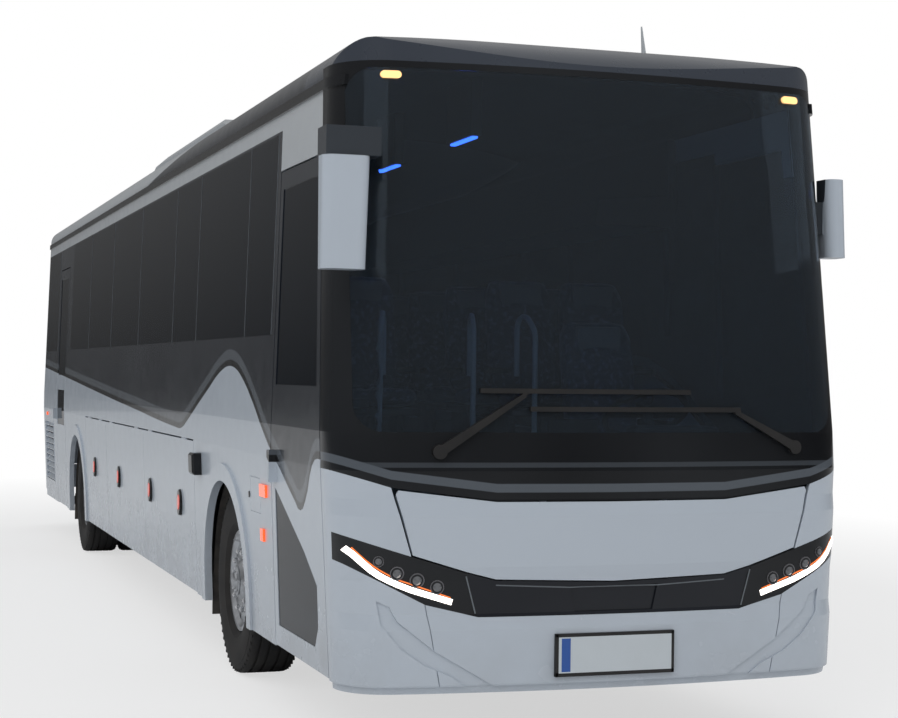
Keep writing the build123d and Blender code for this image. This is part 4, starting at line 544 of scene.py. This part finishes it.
def addFloor():
    bm = bmesh.new()
    bmesh.ops.create_circle(bm, cap_ends=True, segments=96, radius=studio["floorRadius"])
    data = bpy.data.meshes.new("studioFloor")
    bm.to_mesh(data)
    bm.free()
    floor = bpy.data.objects.new("studioFloor", data)
    bpy.context.scene.collection.objects.link(floor)
    mat = bpy.data.materials.new("studioFloor")
    mat.use_nodes = True
    tree = mat.node_tree
    shader = tree.nodes["Principled BSDF"]
    shader.inputs["Base Color"].default_value = (*studio["floorTone"], 1)
    shader.inputs["Roughness"].default_value = studio["floorRough"]
    glow = tree.nodes.new("ShaderNodeEmission")
    mix = tree.nodes.new("ShaderNodeMixShader")
    place, xyz = objectSpace(tree)
    across = calc(tree, "POWER", calc(tree, "DIVIDE", xyz[0], studio["floorShape"]), 2)
    along = calc(tree, "POWER", xyz[1], 2)
    reach = calc(tree, "SQRT", calc(tree, "ADD", across, along))
    fade = spread(tree, reach, *studio["fade"], *studio["fadeGlow"])
    tree.links.new(calc(tree, "MULTIPLY", fade, rayMask(tree)), mix.inputs[0])
    tree.links.new(shader.outputs[0], mix.inputs[1])
    tree.links.new(glow.outputs[0], mix.inputs[2])
    tree.links.new(mix.outputs[0], tree.nodes["Material Output"].inputs["Surface"])
    data.materials.append(mat)


def addLamps():
    for number, (place, size, power) in enumerate(studio["lamps"]):
        data = bpy.data.lights.new(f"softbox{number}", "AREA")
        data.size = size
        data.energy = power
        lamp = bpy.data.objects.new(f"softbox{number}", data)
        lamp.location = place
        aim = Vector(studio["aim"]) - Vector(place)
        lamp.rotation_euler = aim.to_track_quat("-Z", "Y").to_euler()
        lamp.visible_glossy = False
        bpy.context.scene.collection.objects.link(lamp)


setWorld()
addFloor()
addLamps()
print("stage ready")


# shared modelling helpers; all sizes in metres
def back(distance):
    return distance - coachSize["front"]


sideSlope = ((0.337, 1.235), (1.284, 1.275), (1.450, 1.275), (3.063, 1.225))  # height, half width


def halfWidth(height):
    for (low, xLow), (high, xHigh) in zip(sideSlope, sideSlope[1:]):
        if height <= high:
            return xLow + (xHigh - xLow) * (height - low) / (high - low)
    return sideSlope[-1][1]


def addPiece(name, body, finish, bm, angle=35.0, levels=0):
    bmesh.ops.remove_doubles(bm, verts=bm.verts, dist=1e-5)
    bmesh.ops.recalc_face_normals(bm, faces=bm.faces)
    data = bpy.data.meshes.new(name)
    bm.to_mesh(data)
    bm.free()
    for key in (finish if isinstance(finish, tuple) else (finish,)):
        data.materials.append(finishes[key])
    data.shade_smooth()
    data.set_sharp_from_angle(angle=math.radians(angle))
    obj = bpy.data.objects.new(name, data)
    bpy.context.scene.collection.objects.link(obj)
    if levels:
        soft = obj.modifiers.new("soften", "SUBSURF")
        soft.levels = soft.render_levels = levels
    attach(obj, body)
    return obj


def paintFaces(verts, mat):
    for face in {f for v in verts for f in v.link_faces}:
        face.material_index = mat


def block(bm, low, high, bevel, segments=2, mat=0):
    made = bmesh.ops.create_cube(bm, size=1)["verts"]
    low, high = Vector(low), Vector(high)
    bmesh.ops.scale(bm, vec=high - low, verts=made)
    bmesh.ops.translate(bm, vec=(high + low) / 2, verts=made)
    paintFaces(made, mat)
    if bevel:
        edges = list({e for v in made for e in v.link_edges})
        made = bmesh.ops.bevel(
            bm, geom=edges, offset=bevel, affect="EDGES", segments=segments, profile=0.5, material=-1,
        )["verts"]
    return made


def drum(bm, place, direction, radius, depth, tip=None, sides=24, mat=0):
    aim = Vector(direction).normalized()
    turn = aim.to_track_quat("Z", "Y").to_matrix().to_4x4()
    matrix = Matrix.Translation(Vector(place) + aim * depth / 2) @ turn
    made = bmesh.ops.create_cone(
        bm, cap_ends=True, segments=sides, radius1=radius, radius2=radius if tip is None else tip,
        depth=depth, matrix=matrix,
    )["verts"]
    paintFaces(made, mat)
    return made


def lathe(bm, profile, centre, outward, steps, mat=0, closed=False):
    x, y, z = centre
    verts = [bm.verts.new((x + outward * along, y, z + radius)) for along, radius in profile]
    edges = [bm.edges.new(pair) for pair in zip(verts, verts[1:])]
    if closed:
        edges.append(bm.edges.new((verts[-1], verts[0])))
    known = set(bm.faces)
    bmesh.ops.spin(
        bm, geom=verts + edges, cent=centre, axis=(1, 0, 0), angle=math.tau, steps=steps, use_merge=True,
    )
    for face in set(bm.faces) - known:
        face.material_index = mat


def surfaceOf(*names):
    verts, faces = [], []
    for name in names:
        data = nodes[name].data
        base = len(verts)
        verts += [v.co.copy() for v in data.vertices]
        faces += [[base + i for i in p.vertices] for p in data.polygons]
    return BVHTree.FromPolygons(verts, faces)


# points on a side are (across, height) on the front, or (behind the front, height); each side
# has the direction that looks at it, where its rays start, and the direction along it
facing = {
    "front": (Vector((0, 1, 0)), lambda u, z: Vector((u, -9, z)), Vector((1, 0, 0))),
    "left": (Vector((-1, 0, 0)), lambda u, z: Vector((3, back(u), z)), Vector((0, 1, 0))),
    "right": (Vector((1, 0, 0)), lambda u, z: Vector((-3, back(u), z)), Vector((0, 1, 0))),
}
insideSkin = 1.2  # from the middle plane, where a ray that missed looks for the nearest skin
mitre = 0.4  # least cosine, so that a sharp bend doesn't draw a ribbon out to a spike


def touch(tree, side, u, z):
    aim, start, across = facing[side]
    hit, normal, index, distance = tree.ray_cast(start(u, z), aim)
    return hit, -normal if normal.dot(aim) > 0 else normal


def layOn(bm, tree, side, outline, proud, thick, step, mat):
    aim, start, across = facing[side]
    face = bm.faces.new([bm.verts.new(start(u, z)) for u, z in outline])
    face.material_index = mat
    reach = [u for u, z in outline]
    low, high = min(reach), max(reach)
    count = max(1, int((high - low) / step))
    geom = [face, *face.edges, *face.verts]
    for number in range(1, count):
        cut = start(low + (high - low) * number / count, 0)
        geom = bmesh.ops.bisect_plane(bm, geom=geom, plane_co=cut, plane_no=across, dist=1e-6)["geom"]
    verts = [v for v in geom if isinstance(v, bmesh.types.BMVert)]
    faces = [f for f in geom if isinstance(f, bmesh.types.BMFace)]
    for vert in verts:
        hit, normal, index, distance = tree.ray_cast(vert.co, aim)
        if hit is None:
            nearby = vert.co - aim * (vert.co.dot(aim) + insideSkin)
            hit, normal, index, distance = tree.find_nearest(nearby)
        if normal.dot(aim) > 0:
            normal = -normal
        vert.co = hit + normal * proud
    bmesh.ops.recalc_face_normals(bm, faces=faces)
    if sum(f.normal.dot(aim) for f in faces) > 0:
        bmesh.ops.reverse_faces(bm, faces=faces)
    bmesh.ops.solidify(bm, geom=faces, thickness=thick)


def ribbon(points, width):
    left, right = [], []
    for number, point in enumerate(points):
        here = Vector(point)
        before = Vector(points[max(number - 1, 0)])
        after = Vector(points[min(number + 1, len(points) - 1)])
        first = (here - before).normalized() if number else (after - here).normalized()
        second = (after - here).normalized() if number < len(points) - 1 else first
        bisector = (Vector((-first.y, first.x)) + Vector((-second.y, second.x))).normalized()
        reach = width / 2 / max(bisector.dot(Vector((-first.y, first.x))), mitre)
        left.append(here + bisector * reach)
        right.append(here - bisector * reach)
    return left, right


def layRibbon(bm, tree, side, points, width, proud, thick, step, mat=0):
    left, right = ribbon(points, width)
    for number in range(len(points) - 1):
        quad = (left[number], left[number + 1], right[number + 1], right[number])
        layOn(bm, tree, side, [tuple(p) for p in quad], proud, thick, step, mat)


print("helpers ready")

# tyres: a turned section with bead, rim guard and ribbed tread, and bars round both shoulders
tyre = {
    "half": (
        (0.100, 0.2865), (0.118, 0.300), (0.133, 0.318), (0.138, 0.324), (0.138, 0.332),
        (0.1395, 0.340), (0.1465, 0.385), (0.1488, 0.425), (0.1475, 0.452), (0.1440, 0.470),
        (0.1440, 0.474), (0.1415, 0.476), (0.1395, 0.492), (0.136, 0.503), (0.129, 0.5145),
        (0.120, 0.5195), (0.096, 0.5215), (0.093, 0.510), (0.083, 0.510), (0.080, 0.5216),
        (0.040, 0.5218), (0.037, 0.510), (0.027, 0.510), (0.024, 0.5218),
    ),
    "hub": 0.522,
    "frontAxle": back(2.660),
    "rearAxle": back(9.730),
    "outer": 1.050,
    "inner": 0.715,
    "steps": 96,
    "bars": 60,
    "bar": (0.0085, 0.013, 0.030),
    "barAlong": 0.1345,
    "barRadius": 0.4985,
}
wheels = (
    ("front_left", 1, "frontAxle", ("outer",)), ("front_right", -1, "frontAxle", ("outer",)),
    ("rear_left", 1, "rearAxle", ("inner", "outer")), ("rear_right", -1, "rearAxle", ("inner", "outer")),
)


def vertsOf(geom):
    return [g for g in geom if isinstance(g, bmesh.types.BMVert)]


def addShoulderBars(bm, centre):
    bar = bmesh.ops.create_cube(bm, size=1)["verts"]
    bmesh.ops.scale(bm, vec=tyre["bar"], verts=bar)
    seat = (centre[0] + tyre["barAlong"], centre[1], centre[2] + tyre["barRadius"])
    bmesh.ops.translate(bm, vec=seat, verts=bar)
    twin = bmesh.ops.duplicate(bm, geom=list({f for v in bar for f in v.link_faces}))["geom"]
    bmesh.ops.translate(bm, vec=(-2 * tyre["barAlong"], 0, 0), verts=vertsOf(twin))
    faces = list({f for v in bar + vertsOf(twin) for f in v.link_faces})
    turn = math.tau / tyre["bars"]
    for number in range(1, tyre["bars"]):
        copy = bmesh.ops.duplicate(bm, geom=faces)["geom"]
        matrix = Matrix.Rotation(turn * number, 3, "X")
        bmesh.ops.rotate(bm, cent=centre, matrix=matrix, verts=vertsOf(copy))


def buildTyre(place, outward, axle, middles):
    bm = bmesh.new()
    section = tyre["half"] + tuple((-along, radius) for along, radius in reversed(tyre["half"]))
    for middle in middles:
        centre = (outward * tyre[middle], tyre[axle], tyre["hub"])
        lathe(bm, section, centre, 1, tyre["steps"], closed=True)
        addShoulderBars(bm, centre)
    piece = addPiece(f"tyreTread_{place}", f"wheel_{place}", "tyre", bm, 30)
    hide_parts(f"tyre_{place}")


for row in wheels:
    buildTyre(*row)
print("tyres made")

# wheel furniture: nuts with washers and caps, hub cover, valve; a drum is radius, depth, tip radius
wheelTrim = {
    "nuts": 10,
    "nutCircle": 0.1675,
    "nut": (0.0165, 0.022),
    "nutLift": 0.004,
    "washer": (0.0225, 0.007, 0.0205),
    "washerSink": 0.002,
    "stud": (0.0125, 0.007, 0.006),
    "studLift": 0.025,
    "frontAxle": (1.146, 1.178),  # wheel disc's outer face and the hub's end, from the middle
    "rearAxle": (0.891, 1.015),
    "cover": 0.086,
    "cap": 0.050,
    "bolts": (8, 0.070, 0.0075, 0.009),
    "boltLift": 0.009,
    "valve": (0.226, 0.055, 0.0045, 0.055),  # circle, turn, radius, length
    "valveSink": 0.01,
    "valveLean": 0.25,
}


def buildWheelTrim(place, outward, axle, middles):
    bm = bmesh.new()
    seat, hub = wheelTrim[axle]
    axis = (outward, 0, 0)
    y, z = tyre[axle], tyre["hub"]

    def around(count, circle, number, twist=0.0):
        turn = math.tau * (number + twist) / count
        return y + circle * math.sin(turn), z + circle * math.cos(turn)

    nuts = (
        (-wheelTrim["washerSink"], wheelTrim["washer"], 18),
        (wheelTrim["nutLift"], wheelTrim["nut"], 6),
        (wheelTrim["studLift"], wheelTrim["stud"], 12),
    )
    for number in range(wheelTrim["nuts"]):
        spot = around(wheelTrim["nuts"], wheelTrim["nutCircle"], number, 0.5)
        for lift, size, sides in nuts:
            drum(bm, (outward * seat + outward * lift, *spot), axis, *size, sides=sides)
    wide, cap = wheelTrim["cover"], wheelTrim["cap"]
    cover = (
        (-0.004, 0.0), (-0.004, wide), (0.006, wide), (0.010, wide - 0.006), (0.010, cap + 0.006),
        (0.014, cap), (0.024, cap - 0.004), (0.030, cap - 0.018), (0.030, 0.0),
    )
    lathe(bm, cover, (outward * hub, y, z), outward, 48, 1)
    count, circle, size, height = wheelTrim["bolts"]
    for number in range(count):
        spot = around(count, circle, number)
        drum(bm, (outward * (hub + wheelTrim["boltLift"]), *spot), axis, size, height, sides=6)
    circle, turn, radius, length = wheelTrim["valve"]
    foot = (outward * (seat - wheelTrim["valveSink"]), *around(1, circle, turn))
    drum(bm, foot, (outward, 0, wheelTrim["valveLean"]), radius, length, sides=10)
    addPiece(f"wheelTrim_{place}", f"wheel_{place}", ("chrome", "rim"), bm, 30)


for row in wheels:
    buildWheelTrim(*row)
print("wheel furniture made")

# headlamps: daytime strip low down with an amber line over it, four lens modules, dark top edge
# and a thin seam towards the gloss strip, drawn light grey as a painted sheen; a ribbon is points,
# width, proud, thick, step, material
headlamp = {
    "strip": (
        (
            (1.216, 0.944), (1.184, 0.918), (1.150, 0.884), (1.116, 0.853), (1.082, 0.829),
            (1.045, 0.809), (1.000, 0.788), (0.940, 0.764), (0.758, 0.708),
        ),
        0.026, 0.004, 0.006, 0.04, 0,
    ),
    "amber": (
        (
            (1.190, 0.948), (1.140, 0.898), (1.106, 0.870), (1.072, 0.848), (1.036, 0.828),
            (0.994, 0.808), (0.765, 0.728),
        ),
        0.006, 0.003, 0.004, 0.04, 1,
    ),
    "top": (((0.700, 0.828), (0.944, 0.903), (1.240, 0.998)), 0.010, 0.002, 0.004, 0.06, 1),
    "seam": (((0.697, 0.822), (0.652, 0.656)), 0.006, 0.002, 0.003, 0.06, 3),
    "modules": (
        (0.825, 0.775, 0.034), (0.915, 0.806, 0.036), (1.005, 0.838, 0.034), (1.085, 0.890, 0.026),
    ),
    "rings": (  # lift, share of the module's radius, depth, share at the tip, material
        (-0.004, 1.0, 0.008, 0.93, 0), (0.003, 0.80, 0.004, 0.74, 1), (0.006, 0.60, 0.008, 0.30, 2),
    ),
}
lampSkin = surfaceOf("headlamps")


def layLampRibbon(bm, key, sign):
    points, *rest = headlamp[key]
    layRibbon(bm, lampSkin, "front", tuple((sign * u, z) for u, z in points), *rest)


for name, sign in (("left", 1), ("right", -1)):
    bm = bmesh.new()
    layLampRibbon(bm, "strip", sign)
    layLampRibbon(bm, "amber", sign)
    addPiece(f"dayStrip_{name}", "coach", ("dayLight", "amber"), bm, 40)
    bm = bmesh.new()
    for u, z, radius in headlamp["modules"]:
        spot, normal = touch(lampSkin, "front", sign * u, z)
        for lift, share, depth, tip, mat in headlamp["rings"]:
            drum(bm, spot + normal * lift, normal, radius * share, depth, radius * tip, 32, mat)
    layLampRibbon(bm, "top", sign)
    layLampRibbon(bm, "seam", sign)
    addPiece(f"lampModules_{name}", "coach", ("lampMetal", "black", "clearLens", "sheen"), bm, 30)
print("headlamps made")

# front trim: a painted highlight line over the gloss strip, frame and blank blue band of the number
# plate
frontTrim = {
    "line": ((-0.560, 0.780), (-0.215, 0.764), (0.215, 0.764), (0.560, 0.780)),
    "lineRibbon": (0.005, 0.002, 0.003, 0.06),
    "frame": (-0.290, 0.290, 0.368, 0.560),
    "rim": 0.016,
    "lowerRim": 0.022,
    "frameDepth": (0.0002, 0.022, 0.003, 2),  # front and back behind the plate, rounding, its steps
    "band": (-0.262, -0.218, 0.390, 0.540),
    "bandDepth": (-0.00002, 0.003, 0.0004, 1),
}
stripSkin = surfaceOf("grille_strip")
bm = bmesh.new()
layRibbon(bm, stripSkin, "front", frontTrim["line"], *frontTrim["lineRibbon"])
addPiece("stripHighlightLine", "coach", "sheen", bm, 40)
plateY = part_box("plates")[0].y


def plateBlock(bm, area, depth):
    low, high, zLow, zHigh = area
    front, rear, bevel, segments = depth
    block(bm, (low, plateY + front, zLow), (high, plateY + rear, zHigh), bevel, segments)


low, high, zLow, zHigh = frontTrim["frame"]
rim = frontTrim["rim"]
bm = bmesh.new()
for area in (
    (low, high, zLow, zLow + frontTrim["lowerRim"]), (low, high, zHigh - rim, zHigh),
    (low, low + rim, zLow, zHigh), (high - rim, high, zLow, zHigh),
):
    plateBlock(bm, area, frontTrim["frameDepth"])
addPiece("plateFrame", "coach", "trim", bm)
bm = bmesh.new()
plateBlock(bm, frontTrim["band"], frontTrim["bandDepth"])
addPiece("plateBand", "coach", "plateBlue", bm)
print("front trim made")

# flap reflectors: black ovals with an orange-red reflector lens; its slight glow is a painted glint
flapReflector = {
    "places": (4.10, 5.32, 6.90, 8.38),
    "height": 0.865,
    "seams": (3.585, 5.612, 7.640, 9.020),
    "oval": (0.061, 0.087),
    "skin": 0.0105,
    "root": 0.012,
    "taper": 0.93,
    "rings": ((0, 1.0, 0.006), (1, 0.60, 0.009)),  # material, share of the oval, how proud
}


def buildFlapReflectors(side, sign, number):
    bm = bmesh.new()
    height, root = flapReflector["height"], flapReflector["root"]
    wide, tall = flapReflector["oval"]
    x = sign * (halfWidth(height) + flapReflector["skin"])
    seams = flapReflector["seams"]
    for station in flapReflector["places"]:
        if not seams[number] < station < seams[number + 1]:
            continue
        y = back(station)
        aside = Matrix.Translation((-x, -y, -height))
        for mat, share, proud in flapReflector["rings"]:
            place = (x - sign * root, y, height)
            made = drum(bm, place, (sign, 0, 0), 1.0, root + proud, flapReflector["taper"], 32, mat)
            bmesh.ops.scale(bm, vec=(1, wide * share, tall * share), verts=made, space=aside)
    addPiece(
        f"flapReflectors_{side}_{number + 1}", f"flap_{side}_{number + 1}", ("black", "paintedRedGlint"), bm, 40,
    )


for side, sign in (("left", 1), ("right", -1)):
    for number in range(3):
        buildFlapReflectors(side, sign, number)
print("flap lamps made")

# window trim: thin lines at the joints between the panes, light grey as a painted sheen
windowTrim = {
    "left": (1.500, 2.157, 3.620, 4.490, 6.000, 7.500, 8.970, 10.370, 11.520),
    "right": (1.500, 2.157, 3.620, 4.490, 6.000, 7.500, 8.970, 11.520),
    "heights": (1.901, 2.914),
    "ribbon": (0.007, 0.0015, 0.003, 1),
}
glassSkin = surfaceOf("windows", "side_wall_left", "side_wall_right")
for side in ("left", "right"):
    bm = bmesh.new()
    low, high = windowTrim["heights"]
    for station in windowTrim[side]:
        layRibbon(bm, glassSkin, side, ((station, low), (station, high)), *windowTrim["ribbon"])
    addPiece(f"paneJointSheen_{side}", "coach", "sheen", bm)
print("window trim made")

# mirrors: glass on the rear faces of the housings
mirrorGlass = {
    "corners": {
        "right": ((-1.355, 2.20), (-1.195, 2.20), (-1.190, 2.62), (-1.362, 2.62)),
        "left": ((1.283, 2.335), (1.358, 2.335), (1.350, 2.665), (1.276, 2.665)),
    },
    "rayFrom": -5.0,
    "proud": 0.002,
    "round": 0.02,
    "thick": 0.003,
}
mirrorSkin = surfaceOf("mirrors")
for side, corners in mirrorGlass["corners"].items():
    bm = bmesh.new()
    spots = []
    for x, z in corners:
        start = Vector((x, mirrorGlass["rayFrom"], z))
        hit, normal, index, distance = mirrorSkin.ray_cast(start, Vector((0, -1, 0)))
        spots.append(bm.verts.new((x, hit.y + mirrorGlass["proud"], z)))
    bm.faces.new(spots)
    bmesh.ops.bevel(
        bm, geom=spots, offset=mirrorGlass["round"], affect="VERTICES", segments=4, profile=0.5,
        material=-1,
    )
    bmesh.ops.solidify(bm, geom=list(bm.faces), thickness=mirrorGlass["thick"])
    addPiece(f"mirrorGlass_{side}", "coach", "mirror", bm)
print("mirrors made")

# seats: cushion and back with bolsters, one pad per place, on metal frames
seat = {
    "pitch": 0.800,
    "first": 2.050,
    "leftRows": 13,
    "rightRows": 10,
    "lastRight": 11.650,
    "middle": 0.725,
    "spacing": 0.232,
    "width": 0.440,
    "deck": 1.170,
    "driver": (0.560, 1.020, 0.900),
    "cushion": (
        (0.010, 0.345), (0.005, 0.430), (0.060, 0.462), (0.250, 0.452), (0.420, 0.425), (0.470, 0.345),
    ),
    "back": (
        (0.420, 0.400), (0.430, 0.520), (0.475, 0.760), (0.520, 0.980), (0.560, 1.100),
        (0.640, 1.105), (0.660, 1.060), (0.590, 0.760), (0.545, 0.400),
    ),
    "slack": {"cushion": 0.010, "back": 0.014},  # how much narrower than the place
    "dish": 0.012,
    "dishHalf": 0.6,  # share of the half width where the dish turns over
    "dishWithin": 0.75,
    "padFrom": 0.3,
    "padReach": (-0.02, 0.70),
    # blocks: back from and to, up from and to, rounding
    "headrest": (0.515, 0.562, 0.905, 1.075, 0.018),
    "headrestHalf": 0.13,
    "frame": (0.06, 0.46, 0.305, 0.345, 0.008),
    "leg": (0.16, 0.40, 0.001, 0.31, 0.006),
    "legX": 0.12,
    "legHalf": 0.025,
    "arm": (0.12, 0.49, 0.545, 0.580, 0.010),
    "armShift": 0.012,
    "armThick": 0.030,
}


def pad(bm, kind, middle, start, floor):
    width = seat["width"] - seat["slack"][kind]
    verts = [bm.verts.new((middle - width / 2, back(start + y), floor + z)) for y, z in seat[kind]]
    face = bm.faces.new(verts)
    moved = vertsOf(bmesh.ops.extrude_face_region(bm, geom=[face])["geom"])
    bmesh.ops.translate(bm, vec=(width, 0, 0), verts=moved)
    around = {e for v in verts + moved for e in v.link_edges}
    edges = [e for e in around if abs(e.verts[0].co.x - e.verts[1].co.x) > width / 2]
    bmesh.ops.subdivide_edges(bm, edges=edges, cuts=4, use_grid_fill=True)
    front, rear = (back(start + y) for y in seat["padReach"])
    for vert in bm.verts:
        offset = abs(vert.co.x - middle) / (width / 2)
        within = floor + seat["padFrom"] < vert.co.z and front <= vert.co.y <= rear
        if within and offset < seat["dishWithin"]:
            sink = seat["dish"] * (seat["dishHalf"] - offset)
            vert.co.z += sink if kind == "cushion" else 0
            vert.co.y -= sink if kind == "back" else 0


def seatBlock(bm, key, xLow, xHigh, start, floor, mat=0):
    near, far, zLow, zHigh, bevel = seat[key]
    low, high = (xLow, back(start + near), floor + zLow), (xHigh, back(start + far), floor + zHigh)
    block(bm, low, high, bevel, 2, mat)


def seatRow(makers, middle, start, floor, places):
    cushions, backs, frames = makers
    for offset in places:
        x = middle + offset
        pad(cushions, "cushion", x, start, floor)
        pad(backs, "back", x, start, floor)
        half = seat["headrestHalf"]
        seatBlock(frames, "headrest", x - half, x + half, start, floor, 1)
    half = (max(places) - min(places) + seat["width"]) / 2
    seatBlock(frames, "frame", middle - half, middle + half, start, floor)
    for x in (middle - seat["legX"], middle + seat["legX"]):
        seatBlock(frames, "leg", x - seat["legHalf"], x + seat["legHalf"], start, floor)
    for x in (middle - half - seat["armShift"], middle + half - seat["armShift"]):
        seatBlock(frames, "arm", x, x + seat["armThick"], start, floor, 2)


seatMakers = [bmesh.new() for n in range(3)]
pairPlaces = (-seat["spacing"], seat["spacing"])
for side, rows in ((1, seat["leftRows"]), (-1, seat["rightRows"])):
    for row in range(rows):
        start = seat["first"] + row * seat["pitch"]
        seatRow(seatMakers, side * seat["middle"], start, seat["deck"], pairPlaces)
seatRow(seatMakers, -seat["middle"], seat["lastRight"], seat["deck"], pairPlaces)
seatRow(seatMakers, *seat["driver"], (0.0,))
cushions = addPiece("seatCushions", "coach", "cloth", seatMakers[0], 70, 1)
backs = addPiece("seatBacks", "coach", "cloth", seatMakers[1], 70, 1)
frames = addPiece("seatFrames", "coach", ("frame", "vinyl", "trim"), seatMakers[2])
for piece in (cushions, backs, frames):
    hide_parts("seats")
print("seats made")

# cabin: light dashes in ceiling housings, reading panels under the racks, instrument hood
cabin = {
    "dashes": ((-0.30, 2.50, 0.35), (-0.30, 1.15, 0.35)),
    "height": 2.905,
    "dash": (0.016, 0.012, 0.003),  # half width, thickness, rounding
    "housing": (0.030, 0.02, 0.330, 0.004),  # half width, longer at each end, top over the foot
    "panel": (0.93, 0.12, 0.09, 2.585, 2.605, 0.006),
    "panelFirst": 2.45,
    "panelRows": 12,
    # x, metres behind the front, height, then rounding, its steps and the material
    "hood": (0.34, 0.80, 0.575, 0.70, 1.390, 1.470, 0.02, 3, 0),
    "screen": (-0.10, 0.16, 0.60, 0.64, 1.39, 1.50, 0.012, 2, 1),
}
bm = bmesh.new()
half, thick, dashRound = cabin["dash"]
wide, longer, top, housingRound = cabin["housing"]
foot = cabin["height"]
for x, start, length in cabin["dashes"]:
    end = start + length
    block(bm, (x - half, back(start), foot), (x + half, back(end), foot + thick), dashRound, 1)
    low = (x - wide, back(start - longer), foot + thick)
    block(bm, low, (x + wide, back(end + longer), foot + top), housingRound, 1, 1)
addPiece("cabinLights", "coach", ("blueLight", "trim"), bm)
bm = bmesh.new()
panelX, wide, deep, lowZ, highZ, panelRound = cabin["panel"]
for row in range(cabin["panelRows"]):
    y = back(cabin["panelFirst"] + row * seat["pitch"])
    for x in (panelX, -panelX):
        block(bm, (x - wide, y - deep, lowZ), (x + wide, y + deep, highZ), panelRound, 1)
addPiece("readingPanels", "coach", "unit", bm)
bm = bmesh.new()
for key in ("hood", "screen"):
    xLow, xHigh, near, far, lowZ, highZ, bevel, segments, mat = cabin[key]
    block(bm, (xLow, back(near), lowZ), (xHigh, back(far), highZ), bevel, segments, mat)
addPiece("instrumentHood", "coach", ("dash", "black"), bm)
print("cabin made")

# tail lamps: round modules set in the CAD clusters
tail = {
    "x": 1.145,
    # the top row wears the red reflector; its slight glow is a painted glint
    "rows": ((1.170, 0), (1.010, 1), (0.850, 2)),  # height, lens material
    "bezel": (-0.004, 0.052, 0.008, 0.94),  # lift, radius, depth, share at the tip
    "lens": (0.002, 0.85, 0.007, 0.55),  # the same, with the radius as a share of the bezel's
}
tailSkin = surfaceOf("tail_lamps")
bm = bmesh.new()
bezelLift, radius, bezelDepth, bezelTip = tail["bezel"]
lensLift, lensShare, lensDepth, lensTip = tail["lens"]
for sign in (1, -1):
    for z, mat in tail["rows"]:
        start = Vector((sign * tail["x"], 9, z))
        hit, normal, index, distance = tailSkin.ray_cast(start, Vector((0, -1, 0)))
        normal = normal if normal.y > 0 else -normal
        drum(bm, hit + normal * bezelLift, normal, radius, bezelDepth, radius * bezelTip, 32, 3)
        place = hit + normal * lensLift
        drum(bm, place, normal, radius * lensShare, lensDepth, radius * lensTip, 32, mat)
addPiece("tailModules", "coach", ("paintedRedGlint", "redLens", "clearLens", "chrome"), bm, 30)

# roof unit: fans under round guards
roofFan = {
    "stations": (5.30, 6.20, 7.05),
    "x": (-0.42, 0.42),
    "radius": 0.21,
    "top": 3.4595,
    "sink": 0.012,
    "depth": 0.0125,
    "taper": 0.97,
    "bars": 6,
    "barReach": 0.9,
    "barHalf": 0.006,
    "barProud": 0.0004,
}
bm = bmesh.new()
radius, top, half = roofFan["radius"], roofFan["top"], roofFan["barHalf"]
reach = radius * roofFan["barReach"]
for station in roofFan["stations"]:
    for x in roofFan["x"]:
        y = back(station)
        place = (x, y, top - roofFan["sink"])
        drum(bm, place, (0, 0, 1), radius, roofFan["depth"], radius * roofFan["taper"], 36)
        for turn in range(roofFan["bars"]):
            barTop = top + roofFan["barProud"]
            bar = block(bm, (x - reach, y - half, top - half), (x + reach, y + half, barTop), 0, 1, 1)
            matrix = Matrix.Rotation(math.pi * turn / roofFan["bars"], 3, "Z")
            bmesh.ops.rotate(bm, cent=place, matrix=matrix, verts=bar)
addPiece("roofFans", "coach", ("trim", "unit"), bm)
print("tail and roof made")
